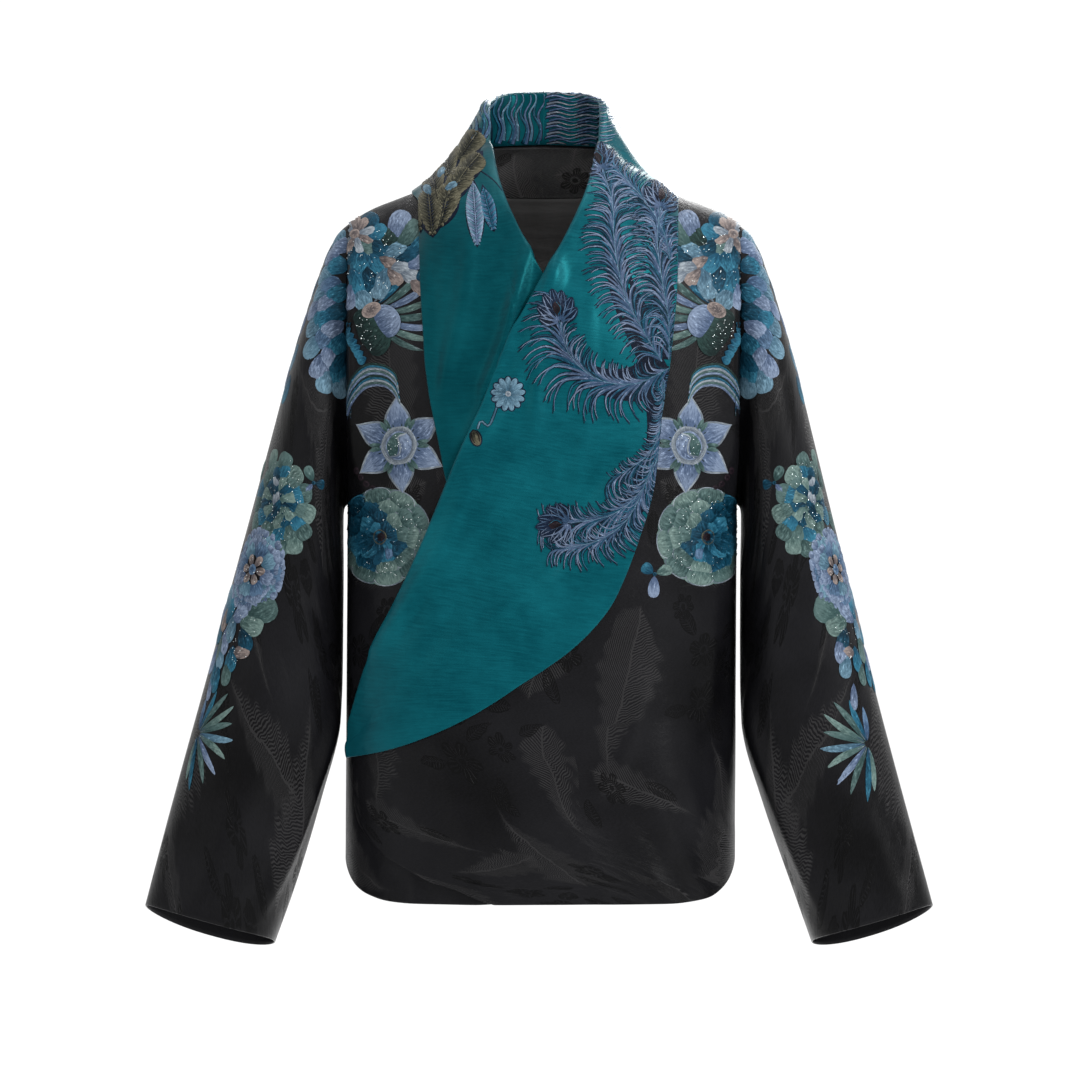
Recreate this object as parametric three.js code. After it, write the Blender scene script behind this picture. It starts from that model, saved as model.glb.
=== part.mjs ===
// A worn wrap jacket with a wide shawl collar, filled out with no wearer.
// Millimetres, +Z up. The front faces -Y and the wearer's left is +X.
// The origin is mid-depth, level with the shoulders, where a wearer's shoulders hold it.
import * as THREE from "three";

// Driving sizes
const WALL = 1.2;
const SEAM = 0.3;
const LAYER = 2.2;
const HALF_WIDTH = 177;
const CORNER = 2.5;
const CHEST_Z = -154;
const UNDERARM_Z = -282;
const HEM_Z = -638;
const ARMHOLE_DEPTH = 52;
const LEVEL_STEP = 100;
const LEAN = 0.006;
const HEM_RISE = 37;
const HEM_RISE_REACH = 57;
const NECK_HALF = 60;
const NECK_Z = 50;
const SETTLING_PASSES = 8;
const HEM_LEVEL = 1 + (CHEST_Z - HEM_Z) / LEVEL_STEP;
const UNDERARM_LEVEL = 1 + (CHEST_Z - UNDERARM_Z) / LEVEL_STEP;

// Height of the shoulder line over each distance from the centre
const SHOULDER = [
  { x: 0, z: 60 }, { x: 20, z: 58 }, { x: 40, z: 54 }, { x: 50, z: 50.5 }, { x: 60, z: 46 },
  { x: 72, z: 30 }, { x: 85, z: 18 }, { x: 100, z: 9 }, { x: 118, z: 2 }, { x: 135, z: -4.5 },
  { x: 154, z: -12 }, { x: 167, z: -19 }, { x: 177, z: -26 },
];

// Half-depth of the body at each height
const DEPTH = [
  { z: -154, front: 122, back: 112 }, { z: -220, front: 123, back: 109 },
  { z: -330, front: 119, back: 103 }, { z: -450, front: 117, back: 103 },
  { z: -560, front: 118, back: 107 }, { z: -640, front: 120, back: 111 },
];

// Broad folds of the body: a line from one place to another, its half-width and its height.
// A level is 0 on the shoulder line, 1 on the chest line, and 1 more each 100 mm below.
const FOLDS = [
  { face: -1, x0: 92, level0: 3.9, x1: 132, level1: 5.9, half: 26, out: 4.5 },
  { face: -1, x0: 135, level0: 3.6, x1: 163, level1: 5.2, half: 20, out: -4 },
  { face: -1, x0: 30, level0: 4.6, x1: 62, level1: 5.95, half: 30, out: -3.5 },
  { face: -1, x0: -148, level0: 4.7, x1: -120, level1: 5.9, half: 24, out: 3 },
  { face: -1, x0: -35, level0: 4.9, x1: -45, level1: 5.95, half: 34, out: 3 },
  { face: 1, x0: -95, level0: 2.6, x1: -118, level1: 5.95, half: 34, out: 6 },
  { face: 1, x0: 100, level0: 3.0, x1: 116, level1: 5.95, half: 32, out: 5.5 },
  { face: 1, x0: -20, level0: 3.4, x1: -30, level1: 5.95, half: 38, out: -5 },
  { face: 1, x0: 55, level0: 4.0, x1: 50, level1: 5.95, half: 26, out: 4 },
  { face: 1, x0: -135, level0: 1.7, x1: -70, level1: 3.2, half: 24, out: -4 },
  { face: 1, x0: 138, level0: 1.8, x1: 78, level1: 3.1, half: 22, out: -3.5 },
];

// Roll line of the over lapel, from the side of the neck down to the far side of the waist
const ROLL = [
  { level: 0, x: 57 }, { level: 0.078, x: 53.5 }, { level: 0.149, x: 48.2 }, { level: 0.353, x: 43 },
  { level: 0.437, x: 39.4 }, { level: 0.513, x: 33.9 }, { level: 0.603, x: 24.5 },
  { level: 0.694, x: 12.4 }, { level: 0.778, x: -2.5 }, { level: 0.866, x: -18 },
  { level: 1, x: -38 }, { level: 1.38, x: -54.2 }, { level: 1.89, x: -77 }, { level: 2.65, x: -107.5 },
  { level: 3.53, x: -146 }, { level: 3.81, x: -156.5 }, { level: 4.23, x: -168 },
];

// Outer edges of the two lapels
const OVER_EDGE = [
  { level: 0.22, x: 120.2 }, { level: 0.69, x: 118.5 }, { level: 0.98, x: 113 }, { level: 1.53, x: 104.3 },
  { level: 2.15, x: 96.6 }, { level: 2.51, x: 87 }, { level: 3.18, x: 60.7 }, { level: 3.58, x: 25.3 },
  { level: 3.89, x: -19 }, { level: 4.14, x: -57 }, { level: 4.34, x: -97 }, { level: 4.48, x: -135 },
  { level: 4.56, x: -169 },
];
const UNDER_EDGE = [
  { level: 0.26, x: 113.1 }, { level: 0.47, x: 111.2 }, { level: 0.7, x: 109.6 }, { level: 0.95, x: 105.5 },
  { level: 1.31, x: 100.6 }, { level: 1.75, x: 91.5 }, { level: 2.09, x: 84.7 }, { level: 2.46, x: 70 },
  { level: 2.76, x: 45 },
];

// Free edge of the over front below its lapel, rounded into the hem
const FREE_EDGE = [
  { level: 4.23, x: -168 }, { level: 4.45, x: -168 }, { level: 4.65, x: -165 }, { level: 4.9, x: -164.5 },
  { level: 5.11, x: -161 }, { level: 5.26, x: -151.9 }, { level: 5.41, x: -138 }, { level: 5.52, x: -120 },
  { level: 5.64, x: -98 }, { level: 5.72, x: -72 }, { level: 5.8, x: -53 }, { level: 5.845, x: -39 },
];

// Which level of the outer edge each level of the roll line faces, how far the lapel springs
// clear of the body between the two, and how full its rolled edge is
const OVER_LAPEL = [
  { roll: 0.149, edge: 0.222, spring: 8, fullness: 1 }, { roll: 0.27, edge: 0.36, spring: 9, fullness: 1 },
  { roll: 0.4, edge: 0.47, spring: 8, fullness: 1 }, { roll: 0.513, edge: 0.58, spring: 6, fullness: 1 },
  { roll: 0.603, edge: 0.69, spring: 3, fullness: 1 }, { roll: 0.694, edge: 0.82, spring: 1.5, fullness: 1 },
  { roll: 0.778, edge: 0.95, spring: 1, fullness: 1 }, { roll: 0.866, edge: 1.2, spring: 1, fullness: 1 },
  { roll: 1, edge: 1.55, spring: 1, fullness: 1 }, { roll: 1.25, edge: 1.95, spring: 1, fullness: 1 },
  { roll: 1.55, edge: 2.35, spring: 1, fullness: 1 }, { roll: 1.9, edge: 2.75, spring: 1, fullness: 1 },
  { roll: 2.3, edge: 3.18, spring: 1, fullness: 0.9 }, { roll: 2.7, edge: 3.58, spring: 1, fullness: 0.8 },
  { roll: 3.1, edge: 3.89, spring: 0.8, fullness: 0.7 }, { roll: 3.5, edge: 4.14, spring: 0.6, fullness: 0.6 },
  { roll: 3.8, edge: 4.34, spring: 0.6, fullness: 0.5 }, { roll: 4.05, edge: 4.48, spring: 1.2, fullness: 0.4 },
  { roll: 4.23, edge: 4.56, spring: 1.6, fullness: 0.3 },
];
const UNDER_LAPEL = [
  { roll: 0.149, edge: 0.26, spring: 8, fullness: 1 }, { roll: 0.27, edge: 0.4, spring: 9, fullness: 1 },
  { roll: 0.4, edge: 0.52, spring: 8, fullness: 1 }, { roll: 0.513, edge: 0.66, spring: 5, fullness: 0.8 },
  { roll: 0.603, edge: 0.82, spring: 2, fullness: 0.4 }, { roll: 0.694, edge: 1.0, spring: 0.5, fullness: 0 },
  { roll: 0.778, edge: 1.31, spring: 0, fullness: 0 }, { roll: 0.866, edge: 1.75, spring: 0, fullness: 0 },
  { roll: 1, edge: 2.09, spring: 0, fullness: 0 }, { roll: 1.2, edge: 2.46, spring: 0, fullness: 0 },
  { roll: 1.45, edge: 2.76, spring: 0, fullness: 0 },
];

// The collar round the back of the neck: its fold, the way out from it, where its root meets the
// neckline, and its outer edge. Levels are below 0 in front of the shoulder line.
const NECK_STATIONS = [
  { key: 0, x: 0.15, y: 62, z: 99, out: 90, ring: 0.15, edgeX: 0.15, edgeLevel: 0.6 },
  { key: 1, x: 28, y: 58, z: 98, out: 75, ring: 27, edgeX: 54, edgeLevel: 0.565 },
  { key: 2, x: 45, y: 41, z: 93, out: 42, ring: 45, edgeX: 92, edgeLevel: 0.345 },
  { key: 3, x: 54, y: 14, z: 86, out: 10, ring: 56, edgeX: 116, edgeLevel: 0.13 },
  { key: 4, x: 54, y: -9, z: 72, out: -12, ring: 57.5, edgeX: 119, edgeLevel: -0.12 },
];

// Sections of a sleeve from the armhole to the cuff: its outer and inner points in the front view,
// its half-depth, how far forward it hangs, and how much its back edge drops
const SLEEVE = [
  { s: 0, outX: 177.3, outZ: -26, inX: 177.3, inZ: -282, depth: 52, forward: 0, drop: 0 },
  { s: 0.03, outX: 186, outZ: -34, inX: 179.4, inZ: -284, depth: 55, forward: 0, drop: 0 },
  { s: 0.06, outX: 193, outZ: -46, inX: 180.5, inZ: -288, depth: 58, forward: 0, drop: 0 },
  { s: 0.1, outX: 200.5, outZ: -63, inX: 181, inZ: -295, depth: 62, forward: 0, drop: 0 },
  { s: 0.16, outX: 212, outZ: -97, inX: 181, inZ: -309, depth: 67, forward: 0, drop: 0 },
  { s: 0.24, outX: 228, outZ: -150, inX: 180.6, inZ: -331, depth: 72, forward: -1, drop: 1 },
  { s: 0.34, outX: 247, outZ: -223, inX: 180.4, inZ: -361, depth: 74, forward: -2, drop: 2 },
  { s: 0.44, outX: 266, outZ: -296, inX: 180.4, inZ: -396, depth: 73, forward: -4, drop: 3 },
  { s: 0.54, outX: 285, outZ: -368, inX: 180.6, inZ: -436, depth: 70, forward: -7, drop: 5 },
  { s: 0.64, outX: 304, outZ: -441, inX: 182, inZ: -478, depth: 66, forward: -11, drop: 6 },
  { s: 0.76, outX: 323.5, outZ: -514, inX: 199, inZ: -549, depth: 61, forward: -16, drop: 8 },
  { s: 0.88, outX: 342.5, outZ: -587, inX: 220, inZ: -621, depth: 56, forward: -22, drop: 9 },
  { s: 1, outX: 357, outZ: -645, inX: 239.5, inZ: -677, depth: 51, forward: -28, drop: 10 },
];

// Soft folds of a sleeve: a line from one section and turn to another, its half-width and its height.
// A turn is 0 outside, 90 in front, 180 inside and 270 behind.
const SLEEVE_FOLDS = [
  { s0: 0.16, turn0: 118, s1: 0.5, turn1: 150, half: 16, out: -5 },
  { s0: 0.52, turn0: 158, s1: 0.92, turn1: 140, half: 17, out: 4.5 },
  { s0: 0.56, turn0: 118, s1: 0.9, turn1: 108, half: 15, out: -3 },
  { s0: 0.3, turn0: 70, s1: 0.62, turn1: 100, half: 20, out: -3 },
  { s0: 0.1, turn0: 238, s1: 0.48, turn1: 212, half: 18, out: -5 },
  { s0: 0.4, turn0: 285, s1: 0.66, turn1: 240, half: 18, out: -4 },
  { s0: 0.6, turn0: 262, s1: 0.95, turn1: 250, half: 18, out: 3.5 },
];

// How much narrower the left sleeve hangs than the right one, outside and inside
const LEFT_SLEEVE = { outside: 3.9, middle: 0.72, reach: 0.3, inside: 6.5, from: 0.68, to: 0.92 };

const radians = THREE.MathUtils.degToRad;
const lerp = THREE.MathUtils.lerp;
const smoothstep = THREE.MathUtils.smoothstep;

// Value of a table's column at a key, on a smooth curve that never overshoots its rows
function look(table, keyName, valueName, key) {
  const last = table.length - 1;
  const down = table[0][keyName] > table[last][keyName];
  const at = (i) => table[down ? last - i : i];
  let i = 0;
  while (i < last - 1 && key > at(i + 1)[keyName]) {
    i += 1;
  }
  const slope = (j) => {
    const width = at(j + 1)[keyName] - at(j)[keyName];
    return (at(j + 1)[valueName] - at(j)[valueName]) / width;
  };
  const tangent = (j) => {
    if (j === 0) {
      return slope(0);
    }
    if (j === last) {
      return slope(last - 1);
    }
    const before = slope(j - 1);
    const after = slope(j);
    return before * after <= 0 ? 0 : (2 * before * after) / (before + after);
  };
  const low = at(i);
  const high = at(i + 1);
  const width = high[keyName] - low[keyName];
  const t = THREE.MathUtils.clamp((key - low[keyName]) / width, 0, 1);
  const blend = 3 * t ** 2 - 2 * t ** 3;
  const leave = t ** 3 - 2 * t ** 2 + t;
  const arrive = t ** 3 - t ** 2;
  return lerp(low[valueName], high[valueName], blend) + width * (leave * tangent(i) + arrive * tangent(i + 1));
}

const signedPower = (value, power) => Math.sign(value) * Math.abs(value) ** power;

// Turn round the body of a distance from its centre: 0 at the centre and 90 degrees at the side
const turnOf = (x) => Math.sign(x) * Math.asin(Math.min(1, Math.abs(x) / HALF_WIDTH) ** (CORNER / 2));

const heightOf = (level) => CHEST_Z - (level - 1) * LEVEL_STEP;

// How full the arch over the shoulder is: rounder in front, squarer behind near the spine
const archPower = (face, turn) => (face < 0 ? 2 : 2 + Math.cos(turn) ** 2);

function foldHeight(face, x, level) {
  let height = 0;
  for (const fold of FOLDS) {
    if (fold.face !== face) {
      continue;
    }
    const run = new THREE.Vector2(fold.x1 - fold.x0, (fold.level1 - fold.level0) * LEVEL_STEP);
    const from = new THREE.Vector2(x - fold.x0, (level - fold.level0) * LEVEL_STEP);
    const along = from.dot(run) / run.lengthSq();
    const aside = Math.abs(from.cross(run)) / run.length();
    const ends = smoothstep(along, -0.25, 0.35) * (1 - smoothstep(along, 1, 1.3));
    height += fold.out * ends * Math.exp(-((aside / fold.half) ** 2));
  }
  return height;
}

// A point of the body's surface, front (-1) or back (1)
function body(face, turn, level) {
  const across = Math.cos(turn);
  const x = HALF_WIDTH * signedPower(Math.sin(turn), 2 / CORNER);
  const side = face < 0 ? "front" : "back";
  const shoulderPart = level < 1;
  const z = shoulderPart ? CHEST_Z : heightOf(level);
  const round = Math.abs(across) ** (2 / CORNER);
  const shoulderSide = Math.abs(Math.sin(turn)) ** 10;
  let armhole = ARMHOLE_DEPTH;
  if (!shoulderPart) {
    const down = (CHEST_Z - z) / (CHEST_Z - UNDERARM_Z);
    armhole = ARMHOLE_DEPTH * Math.sqrt(Math.max(0, 1 - down ** 2));
  }
  const fold = foldHeight(face, x, level);
  const depth = (look(DEPTH, "z", side, z) + fold) * round + armhole * shoulderSide;
  if (!shoulderPart) {
    return new THREE.Vector3(x, face * depth, z);
  }
  const arch = 2 / archPower(face, turn);
  const angle = (level * Math.PI) / 2;
  const top = look(SHOULDER, "x", "z", Math.abs(x));
  const rise = (top - CHEST_Z) * Math.cos(angle) ** arch;
  return new THREE.Vector3(x, face * depth * signedPower(Math.sin(angle), arch), CHEST_Z + rise);
}

function bodyNormal(face, turn, level) {
  const step = 0.002;
  const acrossRun = body(face, turn + step, level).sub(body(face, turn - step, level));
  const downRun = body(face, turn, level + step).sub(body(face, turn, level - step));
  return acrossRun.cross(downRun).multiplyScalar(face).normalize();
}

// A point moved out from the body's surface
function onBody(face, x, level, out) {
  const turn = turnOf(x);
  return body(face, turn, level).addScaledVector(bodyNormal(face, turn, level), out);
}

// The same, with a level below 0 in front of the shoulder line
const overShoulder = (x, level, out) => onBody(level < 0 ? -1 : 1, x, Math.abs(level), out);

// Level of the back neckline at a distance from the centre
function necklineLevel(x) {
  const reach = Math.abs(x);
  if (reach >= NECK_HALF) {
    return 0;
  }
  const top = look(SHOULDER, "x", "z", reach);
  const cut = lerp(NECK_Z, look(SHOULDER, "x", "z", NECK_HALF), (reach / NECK_HALF) ** 2);
  const share = Math.min(1, (cut - CHEST_Z) / (top - CHEST_Z));
  return Math.acos(share ** (archPower(1, turnOf(x)) / 2)) / (Math.PI / 2);
}

// The hem curves up to each side seam
function hemLevel(face, x) {
  const y = Math.abs(body(face, turnOf(x), HEM_LEVEL).y);
  const fromSeam = Math.hypot(y, HALF_WIDTH - Math.abs(x));
  return HEM_LEVEL - (HEM_RISE * Math.exp(-((fromSeam / HEM_RISE_REACH) ** 2))) / LEVEL_STEP;
}

// A closed wall between two grids of points with the same rows and columns
function wall(outer, inner, ring) {
  const rows = outer.length;
  const columns = outer[0].length;
  const points = [...outer.flat(), ...inner.flat()];
  const index = (layer, row, column) => layer * rows * columns + row * columns + (column % columns);
  const faces = [];
  const quad = (a, b, c, d) => faces.push(a, b, c, a, c, d);
  const across = ring ? columns : columns - 1;
  for (let row = 0; row < rows - 1; row += 1) {
    for (let column = 0; column < across; column += 1) {
      const [a, b, c, d] = [[row, column], [row + 1, column], [row + 1, column + 1], [row, column + 1]];
      quad(...[a, b, c, d].map((corner) => index(0, ...corner)));
      quad(...[a, d, c, b].map((corner) => index(1, ...corner)));
    }
  }
  for (let column = 0; column < across; column += 1) {
    quad(index(0, 0, column), index(0, 0, column + 1), index(1, 0, column + 1), index(1, 0, column));
    const end = rows - 1;
    quad(...[[0, 1], [0, 0], [1, 0], [1, 1]].map(([layer, next]) => index(layer, end, column + next)));
  }
  if (!ring) {
    for (let row = 0; row < rows - 1; row += 1) {
      quad(index(0, row + 1, 0), index(0, row, 0), index(1, row, 0), index(1, row + 1, 0));
      const end = columns - 1;
      quad(index(0, row, end), index(0, row + 1, end), index(1, row + 1, end), index(1, row, end));
    }
  }
  const leaned = points.flatMap((p) => [p.x + LEAN * (p.z - HEM_Z), p.y, p.z]);
  const geometry = new THREE.BufferGeometry();
  geometry.setAttribute("position", new THREE.Float32BufferAttribute(leaned, 3));
  geometry.setIndex(faces);
  if (volumeOf(leaned, faces) < 0) {
    geometry.setIndex(faces.reverse());
  }
  geometry.computeVertexNormals();
  return geometry;
}

function volumeOf(numbers, faces) {
  const at = (i) => new THREE.Vector3(numbers[3 * i], numbers[3 * i + 1], numbers[3 * i + 2]);
  let volume = 0;
  for (let i = 0; i < faces.length; i += 3) {
    volume += at(faces[i]).dot(at(faces[i + 1]).cross(at(faces[i + 2]))) / 6;
  }
  return volume;
}

// Steps from one value to another, both included
const steps = (from, to, count) => Array.from({ length: count + 1 }, (_, i) => lerp(from, to, i / count));

// Rows of a panel in its three parts, closer together at the armhole's lower end and at the hem
function panelRows({ shoulder, armhole, skirt, closing }) {
  return [
    ...steps(0, 1, shoulder).slice(0, -1).map((t) => ({ part: "shoulder", t })),
    ...steps(0, 1, armhole).slice(0, -1).map((t) => ({ part: "armhole", t: Math.sin((t * Math.PI) / 2) })),
    ...steps(0, 1, skirt).map((t) => ({ part: "skirt", t: 1 - (1 - t) ** closing })),
  ];
}

// Level of a panel's row at a distance from the centre
function rowLevel(row, x, top, hem) {
  if (row.part === "shoulder") {
    return lerp(top(x), 1, row.t);
  }
  return row.part === "armhole" ? lerp(1, UNDERARM_LEVEL, row.t) : lerp(UNDERARM_LEVEL, hem(x), row.t);
}

// A panel between an inner and an outer edge, from its top to its hem, or the part of it between
// the given rows and columns
function panel({ face, inner, outer, top, hem, counts, shares, out, shift, part }) {
  const cut = { firstRow: 0, lastRow: Infinity, ...part };
  const rows = panelRows(counts).slice(cut.firstRow, cut.lastRow + 1);
  const skins = [0, -WALL].map((inward) => rows.map((row) => shares.map((share) => {
    let x = 0;
    let level = rowLevel(row, x, top, hem);
    for (let pass = 0; pass < SETTLING_PASSES; pass += 1) {
      const turn = lerp(turnOf(inner(level)), turnOf(outer(level)), share);
      x = HALF_WIDTH * signedPower(Math.sin(turn), 2 / CORNER);
      level = rowLevel(row, x, top, hem);
    }
    const point = onBody(face, x, level, out(x, level) + inward);
    return point.setY(point.y + shift);
  })));
  return wall(skins[0], skins[1], false);
}

const rollX = (level) => look(ROLL, "level", "x", Math.max(0, level));
const freeX = (level) => look(FREE_EDGE, "level", "x", level);
const PANEL_SETBACK = 3.8;
const NECK_SETBACK = 3;
const HIDDEN_REACH = 105;
const LOWER_LAYERS = 2;

// How far a front's cut edge lies behind the roll line
function setback(level) {
  const reach = 0.05;
  const slope = (rollX(level + reach) - rollX(level - reach)) / (2 * reach * LEVEL_STEP);
  return PANEL_SETBACK * Math.hypot(1, slope) + NECK_SETBACK * (1 - smoothstep(level, 0.1, 0.35));
}

// How far the over front stands off the body, where the under front and its lapel lie beneath
function overLift(x, level) {
  const beneath = Math.min(-rollX(level), HIDDEN_REACH);
  const covered = 1 - smoothstep(x - beneath, 5, 60);
  const layers = lerp(2, LOWER_LAYERS, smoothstep(level, 2.9, 3.9));
  return covered * layers * LAYER;
}

const noLift = () => 0;
const FREE_LEVEL = FREE_EDGE[0].level;
const BACK_ROWS = { shoulder: 7, armhole: 4, skirt: 7, closing: 1.35 };
const BACK_COLUMNS = [0, 20, 36, 46, 53, 58, 63, 74, 88, 104, 120, 135, 149, 160, 169, 175, HALF_WIDTH];
const FACING_COLUMNS = 8;
const LINING_COLUMNS = 15;
const FACING_ROWS = 3;
const INSIDE = -(WALL + 1);
const LINING_SHORT = 0.2;
const LINING_SEAM = 0.01;

// The back, or a layer inside it on the same rows and columns
function backLayer(out, short, columns, part) {
  const half = BACK_COLUMNS.slice(0, columns + 1);
  const places = [...half.slice(1).reverse().map((x) => -x), ...half];
  return panel({
    face: 1,
    inner: () => -HALF_WIDTH,
    outer: () => HALF_WIDTH,
    top: (x) => necklineLevel(x) + short * LINING_SEAM,
    hem: (x) => hemLevel(1, x) - short * LINING_SHORT,
    counts: BACK_ROWS,
    shares: places.map((x) => 0.5 + turnOf(x) / Math.PI),
    out: () => out,
    shift: SEAM / 2,
    part,
  });
}

function underFront() {
  return panel({
    face: -1,
    inner: (level) => Math.min(-rollX(level) - setback(level), HIDDEN_REACH),
    outer: () => -HALF_WIDTH,
    top: () => 0,
    hem: (x) => Math.min(hemLevel(-1, x), HEM_LEVEL - 0.02 * smoothstep(x, -60, -20)),
    counts: { shoulder: 9, armhole: 5, skirt: 8, closing: 1.35 },
    shares: steps(0, 1, 17),
    out: noLift,
    shift: -SEAM / 2,
  });
}

function overFront() {
  return panel({
    face: -1,
    inner: (level) => (level < FREE_LEVEL ? rollX(level) + setback(level) : freeX(level)),
    outer: () => HALF_WIDTH,
    top: () => 0,
    hem: (x) => hemLevel(-1, x),
    counts: { shoulder: 11, armhole: 5, skirt: 14, closing: 2.2 },
    shares: steps(0, 1, 19),
    out: overLift,
    shift: -SEAM / 2,
  });
}

// The turned edge of a lapel: distance from the roll line and height over its panel
const ROLLED_EDGE = [
  { inset: 3, height: -1.3 }, { inset: 1.4, height: -1.2 }, { inset: 0.3, height: -0.2 },
  { inset: 0, height: 1.3 }, { inset: 0.9, height: 2.7 }, { inset: 3.2, height: 3.4 },
  { inset: 9, height: 3.3 }, { inset: 20, height: 2.6 },
];
const NECK_FOLD_RADIUS = 4.5;
const BACK_FALL_RISE = 1.5;
const SIDE_FALL_SAG = 14;
const FALL_COLUMNS = 8;
const ROOT_GAP = 1.8;
const EDGE_SPRING = 0.6;

// Where the collar's root runs: just past the neckline's cut edge, at each place round the neck
function neckline(key) {
  const ring = look(NECK_STATIONS, "key", "ring", key);
  const level = lerp(necklineLevel(ring), -0.06, smoothstep(key, 3, 4));
  return overShoulder(ring, level, -WALL - 0.1);
}

function collarRoot(key) {
  const step = 0.05;
  const run = neckline(Math.min(4, key + step)).sub(neckline(Math.max(0, key - step)));
  const ring = look(NECK_STATIONS, "key", "ring", key);
  const level = lerp(necklineLevel(ring), -0.06, smoothstep(key, 3, 4));
  const outward = overShoulder(ring, level, 1).sub(overShoulder(ring, level, 0));
  const away = run.cross(outward).normalize();
  return neckline(key).addScaledVector(away, ROOT_GAP);
}

// One row of the lapel, on the front
function lapelRow(roll, edge, spring, fullness, lift, side) {
  const rollAt = side * rollX(roll);
  const edgeAt = side * edge.x;
  const span = Math.hypot(edgeAt - rollAt, (edge.level - roll) * LEVEL_STEP);
  const place = (share, height) => {
    const x = lerp(rollAt, edgeAt, share);
    const level = lerp(roll, edge.level, share);
    return onBody(-1, x, level, height + lift(x, level));
  };
  const turned = ROLLED_EDGE.map(({ inset, height }) => {
    const full = height > LAYER ? lerp(LAYER, height, fullness) : height;
    return place(Math.min(inset, span * 0.5) / span, full + spring * 0.2 * smoothstep(inset, 3, 20));
  });
  const start = Math.min(20, span * 0.5) / span;
  const fall = steps(0, 1, FALL_COLUMNS).slice(1).map((t) => {
    const settle = lerp(0.4 * fullness, EDGE_SPRING, smoothstep(t, 0, 0.3));
    const share = lerp(start, 1, t);
    return place(share, LAYER + settle + spring * Math.sin(Math.PI * lerp(0.07, 1, t)));
  });
  return [...turned, ...fall];
}

// One row of the collar round the neck: stand, fold and fall
function neckRow(key, side) {
  const at = (name) => look(NECK_STATIONS, "key", name, key);
  const out = new THREE.Vector3(Math.cos(radians(at("out"))), Math.sin(radians(at("out"))), 0);
  const fold = new THREE.Vector3(at("x"), at("y"), at("z"));
  const centre = fold.clone().add(new THREE.Vector3(0, 0, -NECK_FOLD_RADIUS));
  const root = collarRoot(key);
  root.x = key === 0 ? at("x") : root.x;
  const inside = centre.clone().addScaledVector(out, -NECK_FOLD_RADIUS);
  const row = [root, root.clone().lerp(inside, 0.5), inside];
  for (const angle of [135, 90, 45, 0]) {
    const turn = radians(angle);
    const rim = centre.clone().addScaledVector(out, NECK_FOLD_RADIUS * Math.cos(turn));
    row.push(rim.add(new THREE.Vector3(0, 0, NECK_FOLD_RADIUS * Math.sin(turn))));
  }
  const from = row[row.length - 1];
  const to = overShoulder(at("edgeX"), at("edgeLevel"), LAYER + 0.6);
  const columns = ROLLED_EDGE.length + FALL_COLUMNS - row.length;
  const sag = lerp(BACK_FALL_RISE, -SIDE_FALL_SAG, smoothstep(key, 1, 3));
  const control = from.clone().lerp(to, 0.5).add(new THREE.Vector3(0, 0, sag));
  for (const t of steps(0, 1, columns).slice(1)) {
    row.push(from.clone().lerp(control, t).lerp(control.clone().lerp(to, t), t));
  }
  return row.map((point) => new THREE.Vector3(side * point.x, point.y, point.z));
}

function shift(points, normals, distance) {
  return points.map((row, r) => row.map((p, c) => p.clone().addScaledVector(normals[r][c], distance)));
}

function gridNormals(grid) {
  const at = (r, c) => grid[THREE.MathUtils.clamp(r, 0, grid.length - 1)];
  return grid.map((row, r) => row.map((_, c) => {
    const previous = Math.max(0, c - 1);
    const next = Math.min(row.length - 1, c + 1);
    const across = row[next].clone().sub(row[previous]);
    const along = at(r + 1)[c].clone().sub(at(r - 1)[c]);
    return along.cross(across).normalize();
  }));
}

function collarHalf({ side, plan, edgeTable, lift, rowCount }) {
  const neck = steps(0, NECK_STATIONS.length - 1, 10).map((key) => neckRow(key, side));
  const keyed = plan.map((row, key) => ({ ...row, key }));
  const front = steps(0, plan.length - 1, rowCount).map((key) => {
    const value = (name) => look(keyed, "key", name, key);
    const edge = { level: value("edge"), x: look(edgeTable, "level", "x", value("edge")) };
    return lapelRow(value("roll"), edge, value("spring"), value("fullness"), lift, side);
  });
  const between = neck[neck.length - 1].map((point, column) => point.clone().lerp(front[0][column], 0.5));
  const seen = [...neck, between, ...front];
  const normals = gridNormals(seen);
  const centreNormals = normals.map((row, r) => {
    return row.map((n) => (r === 0 ? n.clone().setX(0).normalize() : n));
  });
  const hidden = shift(seen, centreNormals, -WALL * side);
  return wall(seen, hidden, false);
}

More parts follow.
